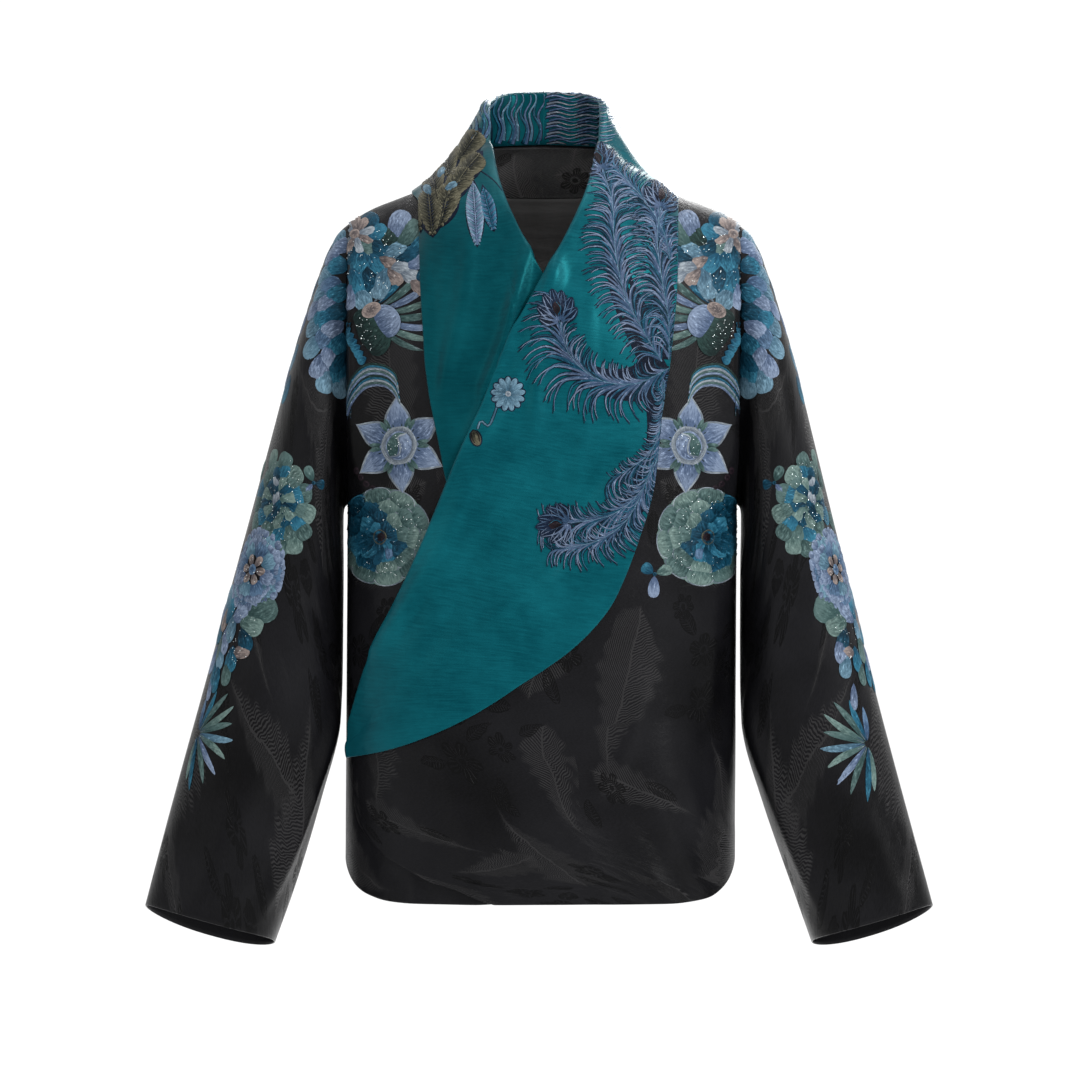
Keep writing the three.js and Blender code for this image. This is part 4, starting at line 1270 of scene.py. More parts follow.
class Thread(Enum):
    """Embroidery threads, each with its colour at a shape's root and at its tip."""

    LAVENDER = (floss(100, 122, 158), floss(162, 182, 213))
    STEEL = (floss(66, 96, 132), floss(112, 146, 182))
    SKY = (floss(84, 126, 152), floss(138, 180, 204))
    CYAN = (floss(24, 88, 118), floss(62, 138, 168))
    DEEP_BLUE = (floss(6, 52, 72), floss(30, 92, 120))
    SAGE = (floss(66, 98, 98), floss(108, 138, 136))
    MINT = (floss(88, 120, 118), floss(140, 168, 162))
    FOREST = (floss(26, 46, 46), floss(52, 82, 78))
    ROSE_GOLD = (floss(112, 104, 106), floss(182, 166, 160))
    CREAM = (floss(128, 142, 158), floss(188, 200, 210))
    OLIVE = (floss(58, 60, 50), floss(126, 122, 100))
    NAVY = (floss(10, 24, 46), floss(26, 44, 72))
    MAROON = (floss(26, 20, 28), floss(52, 40, 48))
    SEQUIN = (floss(150, 168, 172, 0.9), floss(225, 232, 232, 0.9))


@dataclass(frozen=True)
class ThreadFinish:
    """A floss of one colour in long and short stitches, glossy along the stitch, with painted glints: specks
    of near-white colour in its base colour.
    """

    thread: Thread

    def make(self) -> bpy.types.Material:
        """Makes the material.

        Returns:
            The finished material.
        """
        sheet = NodeSheet(f"thread_{self.thread.name.lower()}")
        tone = sheet.tree.nodes.new("ShaderNodeUVMap")
        tone.uv_map = "tone"
        split = sheet.tree.nodes.new("ShaderNodeSeparateXYZ")
        sheet.tree.links.new(tone.outputs[0], split.inputs[0])
        along, own = (Term(sheet.tree, split.outputs[i]) for i in (0, 1))
        strand = sheet.noise(sheet.stretched(0, (1500, 170, 1)), 1, 2, 0.6)
        grain = sheet.noise(sheet.stretched(40, (430, 230, 1)), 1, 2, 0.75)
        share = along + (strand - 0.5) * 0.9 + (grain - 0.5) * 0.9
        root, tip = self.thread.value
        colour = sheet.colours(share, ((0.25, root), (0.8, tip)))
        dark = tuple(c * 0.45 for c in root)
        shade = (own - 0.5) * 0.5 + (strand - 0.5) * -0.8 + (grain - 0.5) * -2.2 + 0.14
        colour = sheet.blend(shade, colour, dark)
        # Painted glints: the grain's brightest specks are painted in a near-white colour, standing in for
        # the highlights of metallic thread
        painted_glint = tuple(min(1.0, c * 1.7 + 0.02) for c in tip)
        sheet.link(sheet.blend((grain - 0.6) * 6, colour, painted_glint), "Base Color")
        sequin = self.thread is Thread.SEQUIN
        sheet.link((strand - 0.5) * 0.3 + (0.25 if sequin else 0.46), "Roughness")
        sheet.set(Specular_IOR_Level=0.5 if sequin else 0.045, Metallic=0.85 if sequin else 0.0,
                  Sheen_Weight=0.0)
        sheet.raise_by(strand, 0.00035)
        return sheet.material


@dataclass
class Patch:
    """One stitched shape: a grid of flat places in millimetres, its thread, height and tone."""

    places: Array
    thread: Thread
    height: Array
    tone: Array
    size: tuple[float, float]


def smooth_line(points: Sequence[tuple[float, float]], count: int) -> Array:
    """Samples a smooth line through a few flat points, evenly by length.

    Args:
        points: Points that the line passes.
        count: How many samples to take.

    Returns:
        The samples.
    """
    dense = spline(np.array(points, float), 40 * len(points))
    run = np.concatenate([[0], np.cumsum(np.linalg.norm(np.diff(dense, axis=0), axis=1))])
    even = np.linspace(0, run[-1], count)
    return np.stack([np.interp(even, run, dense[:, i]) for i in (0, 1)], axis=1)


@dataclass
class Needle:
    """Draws stitched shapes on flat cloth, in millimetres. Copies of it share their shapes."""

    seed: int
    patches: list[Patch] = field(default_factory=list)
    origin: tuple[float, float] = (0.0, 0.0)
    turn: float = 0.0
    scale: float = 1.0
    layer: float = 0.0
    flip: int = 1
    chance: Optional[np.random.Generator] = None

    def __post_init__(self) -> None:
        """Seeds the needle's small irregularities."""
        if self.chance is None:
            self.chance = np.random.default_rng(self.seed)

    def moved(self, across: float, up: float, turn: float = 0.0, scale: float = 1.0,
              layer: float = 0.0) -> "Needle":
        """A needle that draws elsewhere on the same work.

        Args:
            across: Move to the right.
            up: Move up.
            turn: Turn to the left in degrees.
            scale: Enlargement.
            layer: Rise in millimetres.

        Returns:
            The moved needle.
        """
        a = math.radians(self.turn)
        x = self.origin[0] + (across * math.cos(a) - up * math.sin(a)) * self.scale
        y = self.origin[1] + (across * math.sin(a) + up * math.cos(a)) * self.scale
        return Needle(self.seed, self.patches, (x, y), self.turn + turn, self.scale * scale,
                      self.layer + layer, self.flip, self.chance)

    def to_cloth(self, places: Array) -> Array:
        """Takes places from the needle's own frame to the work's."""
        a = math.radians(self.turn)
        turned = np.stack([places[..., 0] * math.cos(a) - places[..., 1] * math.sin(a),
                           places[..., 0] * math.sin(a) + places[..., 1] * math.cos(a)], axis=-1)
        return (turned * self.scale + np.array(self.origin)) * np.array([self.flip, 1])

    def add(self, places: Array, thread: Thread, puff: float, height: Array, tone: Array,
            size: tuple[float, float]) -> None:
        """Adds a shape.

        Args:
            places: Its grid of places, in the needle's own frame.
            thread: Its thread.
            puff: How far its middle stands up.
            height: Shares of the puff over the grid.
            tone: Tones from its root, 0, to its tip, 1.
            size: Its width and length.
        """
        own = float(self.chance.random())
        tones = np.stack([np.broadcast_to(tone, height.shape), np.full(height.shape, own)], axis=-1)
        lift = self.layer + 0.12 + puff * height
        self.patches.append(Patch(self.to_cloth(places), thread, lift, tones, size))

    def petal(self, length: float, width: float, thread: Thread, root: float = 0.6, tip: float = 0.6,
              puff: float = 0.5, bow: float = 0.0, start: float = 0.0, rows: int = 9, cols: int = 5) -> None:
        """A petal or leaf that points up from the needle's origin.

        Args:
            length: Its length.
            width: Its greatest width.
            thread: Its thread.
            root: How sharp its root is: 0.4 round, 1 pointed.
            tip: How sharp its tip is.
            puff: How far it stands up.
            bow: How far its middle bends to the right.
            start: Distance from the origin to its root.
            rows: Steps along it.
            cols: Steps across it.
        """
        t = np.sin(np.linspace(0, 1, rows) * math.pi / 2)[:, None] ** 1.2
        c = np.linspace(-1, 1, cols)[None, :]
        peak = root / (root + tip)
        most = peak**root * (1 - peak) ** tip
        half = width / 2 * t**root * (1 - t) ** tip / most
        x = c * half + 4 * bow * t * (1 - t)
        y = start + t * length + 0 * c
        height = (1 - c**2) * np.minimum(1, 4 * t) * np.minimum(1, 4 * (1 - t) + 0.15)
        self.add(np.stack([x, y], axis=-1), thread, puff, height, t + 0 * c, (width, length))

    def span(self, left: Sequence[tuple[float, float]], right: Sequence[tuple[float, float]], thread: Thread,
             puff: float = 0.4, rows: int = 10, cols: int = 5) -> None:
        """A shape between two lines.

        Args:
            left: Points of its left edge, from root to tip.
            right: Points of its right edge.
            thread: Its thread.
            puff: How far it stands up.
            rows: Steps along it.
            cols: Steps across it.
        """
        a, b = smooth_line(left, rows)[:, None], smooth_line(right, rows)[:, None]
        c = np.linspace(0, 1, cols)[None, :]
        t = np.linspace(0, 1, rows)[:, None]
        places = mix(a, b, c[..., None])
        wide = float(np.linalg.norm(b - a, axis=-1).mean())
        long = float(np.linalg.norm(np.diff(a[:, 0], axis=0), axis=-1).sum())
        self.add(places, thread, puff, 4 * c * (1 - c) + 0 * t, t + 0 * c, (wide, long))

    def disc(self, across: float, high: float, thread: Thread, puff: float = 0.5, inner: float = 0.0,
             cols: int = 20, rows: int = 4) -> None:
        """An oval or a ring round the needle's origin.

        Args:
            across: Its width.
            high: Its height.
            thread: Its thread.
            puff: How far it stands up.
            inner: Share of the size at which a ring starts.
            cols: Steps round it.
            rows: Steps out.
        """
        r = np.linspace(inner, 1, rows)[:, None]
        angle = np.linspace(0, 2 * math.pi, cols)[None, :]
        places = np.stack([across / 2 * r * np.cos(angle), high / 2 * r * np.sin(angle)], axis=-1)
        middle = (r - inner) / (1 - inner)
        height = (4 * middle * (1 - middle) if inner > 0 else 1 - r**2) + 0 * angle
        self.add(places, thread, puff, height, middle + 0 * angle, (across * 1.5, high))

    def band(self, points: Sequence[tuple[float, float]], width: float, thread: Thread, puff: float = 0.3,
             end_width: Optional[float] = None, count: int = 12, cols: int = 3) -> None:
        """A line of stitches of changing width through some points.

        Args:
            points: Points that it passes.
            width: Its width at the start.
            thread: Its thread.
            puff: How far it stands up.
            end_width: Its width at the end.
            count: Steps along it.
            cols: Steps across it.
        """
        line = smooth_line(points, count)
        run = unit(np.gradient(line, axis=0))
        side = np.stack([-run[:, 1], run[:, 0]], axis=-1)
        t = np.linspace(0, 1, count)[:, None]
        half = mix(width, width if end_width is None else end_width, t) / 2
        c = np.linspace(-1, 1, cols)[None, :]
        places = line[:, None] + side[:, None] * (half * c)[..., None]
        length = float(np.linalg.norm(np.diff(line, axis=0), axis=1).sum())
        self.add(places, thread, puff, (1 - c**2) + 0 * t, t + 0 * c, (width, length))

    def sequins(self, spread: float, high: float, count: int, size: float = 1.0) -> None:
        """Scatters sequins over an oval round the origin.

        Args:
            spread: The oval's width.
            high: Its height.
            count: How many.
            size: Their width.
        """
        for _ in range(count):
            r, angle = math.sqrt(self.chance.random()), self.chance.random() * 2 * math.pi
            x, y = spread / 2 * r * math.cos(angle), high / 2 * r * math.sin(angle)
            spot = self.moved(x, y, float(self.chance.random() * 90),
                              layer=0.55 + 0.2 * float(self.chance.random()))
            half = size / 2
            places = np.array([[[-half, 0], [0, -half]], [[0, half], [half, 0]]])
            spot.add(places, Thread.SEQUIN, 0.35, self.chance.random((2, 2)), np.full((2, 2), 0.7), (1, 1))


@dataclass(frozen=True)
class Place:
    """A spot on cloth from where stitches follow it."""

    tree: BVHTree
    point: Vector
    normal: Vector
    wrap: bool = True
    reach: float = 0.085
    overhang: float = 0.0015
    edge_reach: float = 0.007
    bend_slack: float = 0.12

    @classmethod
    def seen(cls, tree: BVHTree, x: float, z: float, azimuth: float = 0.0, wrap: bool = True) -> "Place":
        """Finds the spot that a viewer sees at a place on the upright plane through the jacket's middle.

        Args:
            tree: The cloth.
            x: Millimetres to the right.
            z: Millimetres up.
            azimuth: How far the viewer has walked round to the right, in degrees.
            wrap: Whether stitches follow round the cloth, or lie as the viewer sees them.

        Returns:
            The spot.
        """
        a = math.radians(azimuth)
        right, away = Vector((math.cos(a), math.sin(a), 0)), Vector((-math.sin(a), math.cos(a), 0))
        eye = Vector((0, 0, Studio.eye_height)) - away * Studio.distance
        ray = right * x * MM + Vector((0, 0, z * MM)) - eye
        point, normal, _, _ = tree.ray_cast(eye, ray.normalized())
        if point is None:
            point, normal, _, _ = tree.find_nearest(right * x * MM + Vector((0, 0, z * MM)) - away * 0.1)
        if not wrap:
            return cls(tree, point, -away, wrap)
        return cls(tree, point, -normal if normal.dot(ray) > 0 else normal, wrap)

    def lay(self, places: Array, heights: Array) -> tuple[Array, Array, Array]:
        """Lays flat places on the cloth.

        Args:
            places: Rows of millimetres across and up.
            heights: Heights over the cloth.

        Returns:
            Points in metres, whether each lies on the cloth and whether each may close a cut edge.
        """
        up = (Vector((0, 0, 1)) - self.normal * self.normal.z).normalized()
        right = up.cross(self.normal).normalized()
        points = np.zeros((len(places), 3))
        inside = np.zeros(len(places), bool)
        near = np.zeros(len(places), bool)
        for i, ((x, y), height) in enumerate(zip((places * MM).tolist(), (heights * MM).tolist())):
            aim = self.point + right * x + up * y
            hit = None
            if not self.wrap:
                hit, normal, _, _ = self.tree.ray_cast(aim + self.normal * self.reach, -self.normal,
                                                       2 * self.reach)
            if hit is None:
                hit, normal, _, _ = self.tree.find_nearest(aim)
            normal = -normal if normal.dot(self.normal) < 0 else normal
            gap = aim - hit
            square = normal if self.wrap else self.normal
            aside = (gap - square * gap.dot(square)).length
            slack = self.bend_slack * gap.length if self.wrap else 0.0
            inside[i], near[i] = aside < self.overhang + slack, aside < self.edge_reach
            points[i] = hit + normal * height
        return points, inside, near


@dataclass
class Needlework:
    """Stitched figures on cloth, joined as one piece."""

    name: str
    seed: int
    parts: list[tuple[Place, Needle]] = field(default_factory=list)
    grain_shift: int = 37
    grain_places: int = 91

    def on(self, place: Place, turn: float = 0.0, mirror: bool = False, layer: float = 0.0) -> Needle:
        """Gives a needle for a spot.

        Args:
            place: The spot.
            turn: Turn to the left in degrees.
            mirror: Whether the needle draws as seen in a mirror.
            layer: Rise in millimetres.

        Returns:
            The needle.
        """
        needle = Needle(self.seed + len(self.parts), turn=turn, layer=layer, flip=-1 if mirror else 1)
        self.parts.append((place, needle))
        return needle

    def build(self, threads: dict[Thread, bpy.types.Material]) -> Optional[bpy.types.Object]:
        """Makes the piece.

        Args:
            threads: The threads' materials.

        Returns:
            The new object.
        """
        points, faces, flats, tones, slots = [], [], [], [], []
        used = sorted({patch.thread for _, needle in self.parts for patch in needle.patches},
                      key=lambda t: t.name)
        start = 0
        for place, needle in self.parts:
            if not needle.patches:
                continue
            places = np.concatenate([patch.places.reshape(-1, 2) for patch in needle.patches])
            heights = np.concatenate([patch.height.ravel() for patch in needle.patches])
            laid, inside, near = place.lay(places, heights)
            points.append(laid)
            at = 0
            for patch in needle.patches:
                rows, cols = patch.height.shape
                index = at + np.arange(rows * cols).reshape(rows, cols)
                quads = np.stack([index[:-1, :-1], index[:-1, 1:], index[1:, 1:], index[1:, :-1]], axis=-1)
                quads = quads.reshape(-1, 4)[:, :: needle.flip]
                quads = quads[inside[quads].any(axis=1) & near[quads].all(axis=1)]
                apart = self.grain_shift * (len(faces) % self.grain_places)
                u = np.linspace(0, patch.size[0], cols)[None, :] + np.zeros((rows, 1)) + apart
                v = np.linspace(0, patch.size[1], rows)[:, None] + np.zeros((1, cols))
                flat = np.stack([u, v], axis=-1).reshape(-1, 2) * MM
                faces.append(quads + start)
                flats.append(flat[quads - at].reshape(-1, 2))
                tones.append(patch.tone.reshape(-1, 2)[quads - at].reshape(-1, 2))
                slots.append(np.full(len(quads), used.index(patch.thread)))
                at += rows * cols
            start += len(laid)
        faces = np.concatenate(faces)
        kept, renumbered = np.unique(faces, return_inverse=True)
        made = mesh_object(self.name, np.concatenate(points)[kept], renumbered.reshape(faces.shape),
                           np.concatenate(flats))
        tone_map = made.data.uv_layers.new(name="tone")
        tone_map.data.foreach_set("uv", np.concatenate(tones).astype(np.float32).ravel())
        for thread in used:
            made.data.materials.append(threads[thread])
        made.data.polygons.foreach_set("material_index", np.concatenate(slots))
        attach(made, "root")
        LOG.info("%s: %d faces", self.name, len(faces))
        return made


@dataclass(frozen=True)
class StarBlossom:
    """Six pointed petals round a ringed oval that a wave divides."""

    reach: float = 43.0
    petal_width: float = 24.5
    core: float = 17.5

    def stitch(self, needle: Needle) -> None:
        """Stitches it."""
        for i in range(6):
            gap = needle.moved(0, 0, 60 * i + 30)
            gap.petal(21, 15, Thread.FOREST, 0.5, 0.9, start=6, puff=0.3)
            for side in (-1, 1):
                gap.moved(3.6 * side, 14, -26 * side).petal(12, 5.5, Thread.SAGE, 0.6, 0.8, puff=0.5)
        for i in range(6):
            petal = needle.moved(0, 0, 60 * i + 4, layer=0.15)
            petal.petal(self.reach - 10, self.petal_width, Thread.CREAM, 0.62, 1.25, start=11, puff=0.5,
                        rows=14, cols=9)
            petal.moved(0, 0, layer=0.12).petal(self.reach - 12, self.petal_width - 3.5, Thread.LAVENDER,
                                                0.62, 1.25, start=11.5, puff=0.9, rows=14, cols=9)
            for side in (-1, 1):
                petal.moved(6.2 * side, 15, -30 * side, layer=0.4).petal(11, 4.5, Thread.SAGE, 0.7, 0.8,
                                                                         puff=0.4)
                petal.moved(3.4 * side, 16, -12 * side, layer=0.5).petal(6, 2.2, Thread.FOREST, 0.7, 0.8,
                                                                         puff=0.3)
        middle = needle.moved(0, 0, -12, layer=0.45)
        middle.disc(2 * self.core, 2.2 * self.core, Thread.LAVENDER, 0.5, cols=28)
        middle.moved(0, 0, layer=0.2).disc(2 * self.core - 3, 2.2 * self.core - 3, Thread.CREAM, 0.6, 0.72,
                                           cols=30)
        heart = middle.moved(0, 0, -20, layer=0.2)
        wave = [(-1.5, -13), (4.5, -7), (1.5, 0), (-4.5, 6), (0.5, 13)]
        heart.span([(-1.5, -13), (-9.5, -7), (-11, 0), (-8.5, 8), (0.5, 13)], wave, Thread.SAGE, 0.6)
        heart.span(wave, [(-1.5, -13), (8.5, -9), (11, 0), (9.5, 7), (0.5, 13)], Thread.LAVENDER, 0.8)
        heart.moved(0, 0, layer=0.5).band(wave, 1.6, Thread.CREAM, 0.3)
        heart.moved(0, 0, layer=0.3).sequins(20, 24, 16, 0.8)


@dataclass(frozen=True)
class ScallopRound:
    """Rows of scallops round a dark eye, with a deep blue wave through them."""

    reach: float = 42.0
    rings: tuple[tuple[float, float, int], ...] = ((1.0, 0.34, 10), (0.78, 0.34, 9), (0.57, 0.33, 8),
                                                   (0.36, 0.3, 6))
    waves: tuple[tuple[float, float], ...] = ((25, 85), (5, 150), (-1, 250), (-1, 360))

    def stitch(self, needle: Needle) -> None:
        """Stitches it."""
        for row, (outer, depth, count) in enumerate(self.rings):
            radius = self.reach * outer
            for i in range(count):
                angle = 360 * (i + 0.5 * (row % 2)) / count
                scallop = needle.moved(0, 0, angle, layer=0.17 * row + 0.06 * (i % 2))
                in_wave = self.waves[row][0] < angle < self.waves[row][1]
                thread = Thread.DEEP_BLUE if in_wave else (Thread.SAGE, Thread.MINT)[(i + row) % 2]
                if in_wave and (i + row) % 3 == 0:
                    thread = Thread.CYAN
                width = 2 * math.pi * radius / count * 1.08
                length = self.reach * depth * 1.12
                scallop.petal(length, width, thread, 0.55, 0.4, start=radius - length, puff=0.75, rows=10,
                              cols=7)
                rim = [(-width * 0.44, radius - length * 0.42), (-width * 0.3, radius - length * 0.1),
                       (0, radius), (width * 0.3, radius - length * 0.1),
                       (width * 0.44, radius - length * 0.42)]
                scallop.moved(0, 0, layer=0.12).band(rim, 1.0, Thread.CYAN if in_wave else Thread.CREAM, 0.2,
                                                     count=10)
        swirl = needle.moved(0, 0, layer=0.55)
        for turn, size, thread in ((100, 1.0, Thread.DEEP_BLUE), (128, 1.05, Thread.CYAN),
                                   (156, 1.05, Thread.DEEP_BLUE), (184, 0.9, Thread.STEEL),
                                   (212, 0.75, Thread.DEEP_BLUE)):
            lobe = swirl.moved(0, 0, turn, layer=0.02 * (turn / 28))
            lobe.petal(22 * size, 11 * size, thread, 0.7, 0.45, bow=-3, start=3, puff=0.6)
        eye = needle.moved(-2, 0, layer=0.75)
        eye.disc(11, 13, Thread.MAROON, 0.4)
        eye.moved(0, 0, layer=0.3).disc(12, 14, Thread.OLIVE, 0.3, 0.78)
        needle.moved(0, 0, layer=0.2).sequins(self.reach * 1.7, self.reach * 1.7, 130, 0.75)


@dataclass(frozen=True)
class LeafFan:
    """Pointed leaves that ray out from one place."""

    leaves: tuple[tuple[float, float, Thread], ...]
    width: float = 5.6
    start: float = 3.0

    def stitch(self, needle: Needle) -> None:
        """Stitches it."""
        for i, (turn, length, thread) in enumerate(self.leaves):
            leaf = needle.moved(0, 0, turn, layer=0.08 * (i % 3))
            leaf.petal(length, self.width, thread, 0.7, 0.75, start=self.start, puff=0.6,
                       bow=1.2 * (-1) ** i, rows=12)
            vein = [(0, self.start + 2), (1.2 * (-1) ** i, length * 0.5), (0, length - 1)]
            leaf.moved(0, 0, layer=0.35).band(vein, 0.7, Thread.CREAM if i % 2 else Thread.STEEL, 0.2, 0.3)


@dataclass(frozen=True)
class FrilledBlossom:
    """Ruffled petals in two rows round a rose-gold heart."""

    reach: float = 32.0

    def stitch(self, needle: Needle) -> None:
        """Stitches it."""
        threads = (Thread.LAVENDER, Thread.SKY, Thread.STEEL)
        for row, (outer, count) in enumerate(((1.0, 11), (0.76, 8))):
            radius = self.reach * outer
            for i in range(count):
                petal = needle.moved(0, 0, 360 * (i + 0.5 * row) / count, layer=0.18 * row)
                width = 2 * math.pi * radius / count
                petal.petal(radius * 0.62, width * 1.1, threads[(i + row) % 3], 0.8, 0.4,
                            start=radius * 0.36, puff=0.7, rows=9, cols=7)
                for side in (-1, 0, 1):
                    frill = petal.moved(side * width * 0.3, radius * (0.8 - 0.03 * abs(side)), -side * 22,
                                        layer=0.15)
                    frill.petal(radius * 0.26, width * 0.42, Thread.LAVENDER, 0.6, 0.35, puff=0.5)
        heart = needle.moved(0, 0, layer=0.5)
        for i in range(6):
            heart.moved(0, 0, 60 * i + 20).petal(12, 7.5, Thread.ROSE_GOLD, 0.7, 0.4, start=3, puff=0.6)
        heart.moved(0, 0, layer=0.3).disc(9, 10, Thread.STEEL, 0.5)
        heart.moved(0, 0, layer=0.2).sequins(26, 26, 26, 0.8)


@dataclass(frozen=True)
class Sprig:
    """Three round petals on a short stem."""

    threads: tuple[Thread, Thread, Thread] = (Thread.MINT, Thread.CYAN, Thread.LAVENDER)
    reach: float = 17.0

    def stitch(self, needle: Needle) -> None:
        """Stitches it."""
        for turn, length, thread in zip((62, -62, 175), (1.0, 0.7, 1.15), self.threads):
            needle.moved(0, 0, turn).petal(self.reach * length, self.reach * 0.62, thread, 0.75, 0.4,
                                           start=1.5, puff=0.7)
        needle.moved(0, 0, layer=0.4).disc(3.4, 3.4, Thread.DEEP_BLUE, 0.3)


@dataclass(frozen=True)
class StripedArcs:
    """A sheaf of bowed stripes that open like a wave."""

    stripes: int = 10
    reach: float = 48.0

    def stitch(self, needle: Needle) -> None:
        """Stitches it."""
        threads = (Thread.LAVENDER, Thread.SAGE, Thread.CREAM, Thread.CYAN, Thread.FOREST)
        for i in range(self.stripes):
            share = i / (self.stripes - 1)
            line = [(-25, -27 + 15 * share), (-19, -12 + 21 * share), (-6, 1 + 20 * share),
                    (10, 2 + 18 * share), (20, -6 + 19 * share), (25 - 3 * share, -17 + 22 * share)]
            needle.moved(0, 0, layer=0.05 * (i % 2)).band(line, 3.2, threads[i % 5], 0.6, 1.2, 24)


@dataclass(frozen=True)
class Frond:
    """Fine curved barbs along a bowed rib, outlined in navy."""

    spine: tuple[tuple[float, float], ...]
    left: tuple[float, float, float] = (14, 26, 12)
    right: tuple[float, float, float] = (14, 26, 12)
    spacing: float = 2.3
    slant: float = 56.0
    curl: float = 0.3
    heads: bool = True

    def stitch(self, needle: Needle) -> None:
        """Stitches it."""
        line = smooth_line(self.spine, 60)
        length = float(np.linalg.norm(np.diff(line, axis=0), axis=1).sum())
        count = int(length / self.spacing)
        threads = (Thread.STEEL, Thread.LAVENDER, Thread.STEEL, Thread.CYAN, Thread.LAVENDER,
                   Thread.DEEP_BLUE)
        run = unit(np.gradient(line, axis=0))
        under = 0.55 * (self.left[1] + self.right[1])
        needle.band(self.spine, under, Thread.NAVY, 0.1, 0.8, 40)
        for i in range(count):
            share = (i + 0.5) / count
            at = share * 59
            x, y = (float(np.interp(at, range(60), line[:, k])) for k in (0, 1))
            dx, dy = (float(np.interp(at, range(60), run[:, k])) for k in (0, 1))
            heading = math.degrees(math.atan2(-dx, dy))
            for side, reaches in ((1, self.left), (-1, self.right)):
                reach = float(np.interp(share, (0, 0.5, 1), reaches))
                reach *= 0.82 + 0.34 * float(needle.chance.random())
                if reach < 3:
                    continue
                slant = (self.slant - 30 * share + 8 * float(needle.chance.random() - 0.5)) * side
                barb = needle.moved(x, y, heading + slant, layer=0.06 * (i % 3))
                bow = self.curl * reach * side * (0.7 + 0.6 * float(needle.chance.random()))
                width = 1.6 + 0.02 * reach
                hook = [(0, 0), (bow * 0.55, reach * 0.35), (bow * 0.7, reach * 0.65),
                        (bow * 0.15, reach * 0.9)]
                barb.band([*hook, (-bow * 0.5, reach * 1.03 + 0.8)], width + 2.6, Thread.NAVY, 0.1, 0.7, 13)
                barb.moved(0, 0, layer=0.16).band([*hook, (-bow * 0.42, reach)], width,
                                                  threads[int(needle.chance.integers(6))], 0.4, 0.4, 13)
        needle.moved(0, 0, layer=0.3).band(self.spine, 2.6, Thread.NAVY, 0.2, 1.2, 40)
        needle.moved(0, 0, layer=0.45).band(self.spine, 1.3, Thread.SKY, 0.3, 0.7, 40)
        if self.heads:
            tip = needle.moved(*line[-1], math.degrees(math.atan2(-run[-1][0], run[-1][1])), layer=0.35)
            for i, (turn, size) in enumerate(((-64, 20), (64, 20), (-40, 25), (40, 25), (-16, 29), (16, 29),
                                              (0, 31))):
                lobe = tip.moved(0, -6, turn, layer=0.04 * i)
                lobe.petal(size, 13, Thread.NAVY, 0.7, 0.7, puff=0.2)
                thread = (Thread.STEEL, Thread.LAVENDER)[i % 2]
                for aside in (-3.6, 0, 3.6):
                    strand = [(0, 2), (aside * 1.2, size * 0.5), (aside * 0.5, size - 2)]
                    lobe.moved(0, 0, layer=0.12).band(strand, 2.2, thread, 0.4, 0.4, 12)
            tip.moved(0, -2, layer=0.5).petal(19, 14, Thread.NAVY, 0.6, 0.5, puff=0.3)
            tip.moved(0, 0, layer=0.62).petal(14, 9, Thread.MAROON, 0.6, 0.5, puff=0.4)
            tip.moved(0, 0, layer=0.75).band([(0, 1), (3.6, 6), (0.5, 13)], 1.3, Thread.CYAN, 0.3, 0.5, 9)


@dataclass(frozen=True)
class SmallBlossom:
    """A round blossom of narrow petals with a stem and a bud."""

    reach: float = 15.0
    stem: bool = True

    def stitch(self, needle: Needle) -> None:
        """Stitches it."""
        if self.stem:
            for width, thread, layer in ((2.6, Thread.NAVY, 0.0), (1.4, Thread.SKY, 0.15)):
                needle.moved(0, 0, layer=layer).band([(-10, -12), (-17, -28), (-24, -24), (-27, -31)], width,
                                                     thread, 0.2)
            bud = needle.moved(-29, -38, 200, layer=0.2)
            bud.moved(0, -7).petal(16, 11, Thread.NAVY, 0.5, 0.5, puff=0.3)
            bud.moved(0, -6, layer=0.2).petal(14, 8.5, Thread.OLIVE, 0.5, 0.5, puff=0.6)
            for side in (-1, 0, 1):
                bud.moved(2.2 * side, -4, layer=0.6).band([(0, 0), (0.8 * side, 4), (0, 9)], 0.7,
                                                          Thread.MAROON, 0.2)
        for row, (share, count) in enumerate(((1.0, 13), (0.66, 9))):
            for i in range(count):
                petal = needle.moved(0, 0, 360 * (i + 0.5 * row) / count, layer=0.15 * row)
                length = self.reach * share
                petal.petal(length, 7.0 * share + 1.2, Thread.NAVY, 0.8, 0.5, start=1.0, puff=0.2)
                petal.moved(0, 0, layer=0.15).petal(length - 1.2, 5.2 * share, Thread.SKY, 0.8, 0.5,
                                                    start=1.5, puff=0.5)
        needle.moved(0, 0, layer=0.45).disc(5, 5, Thread.CREAM, 0.4)


@dataclass(frozen=True)
class VeinedLeaf:
    """A broad leaf built of slanting stitches either side of a rib."""

    length: float = 44.0
    width: float = 26.0
    threads: tuple[Thread, Thread] = (Thread.SKY, Thread.LAVENDER)
    barbs: int = 13

    def stitch(self, needle: Needle) -> None:
        """Stitches it."""
        needle.petal(self.length + 4, self.width + 3, Thread.NAVY, 0.9, 1.1, start=-2, puff=0.1, rows=18,
                     cols=7)
        for i in range(self.barbs):
            t = (i + 0.5) / self.barbs
            half = self.width / 2 * (t**0.9 * (1 - t) ** 1.1) / 0.25
            for side in (-1, 1):
                barb = needle.moved(0, self.length * t * 0.92, -48 * side, layer=0.15 + 0.04 * (i % 2))
                barb.petal(half * 1.35 + 1, 3.1, self.threads[i % 2], 0.8, 0.6, puff=0.45, bow=0.8 * side)
        needle.moved(0, 0, layer=0.5).band([(0, 0), (0, self.length * 0.95)], 1.5, self.threads[1], 0.3, 0.6,
                                           16)


@dataclass(frozen=True)
class Bit:
    """One lobe of a cluster: where a viewer sees it, its turn, length, width and thread."""

    x: float
    z: float
    turn: float
    length: float
    width: float
    thread: Thread
    root: float = 0.75
    tip: float = 0.42


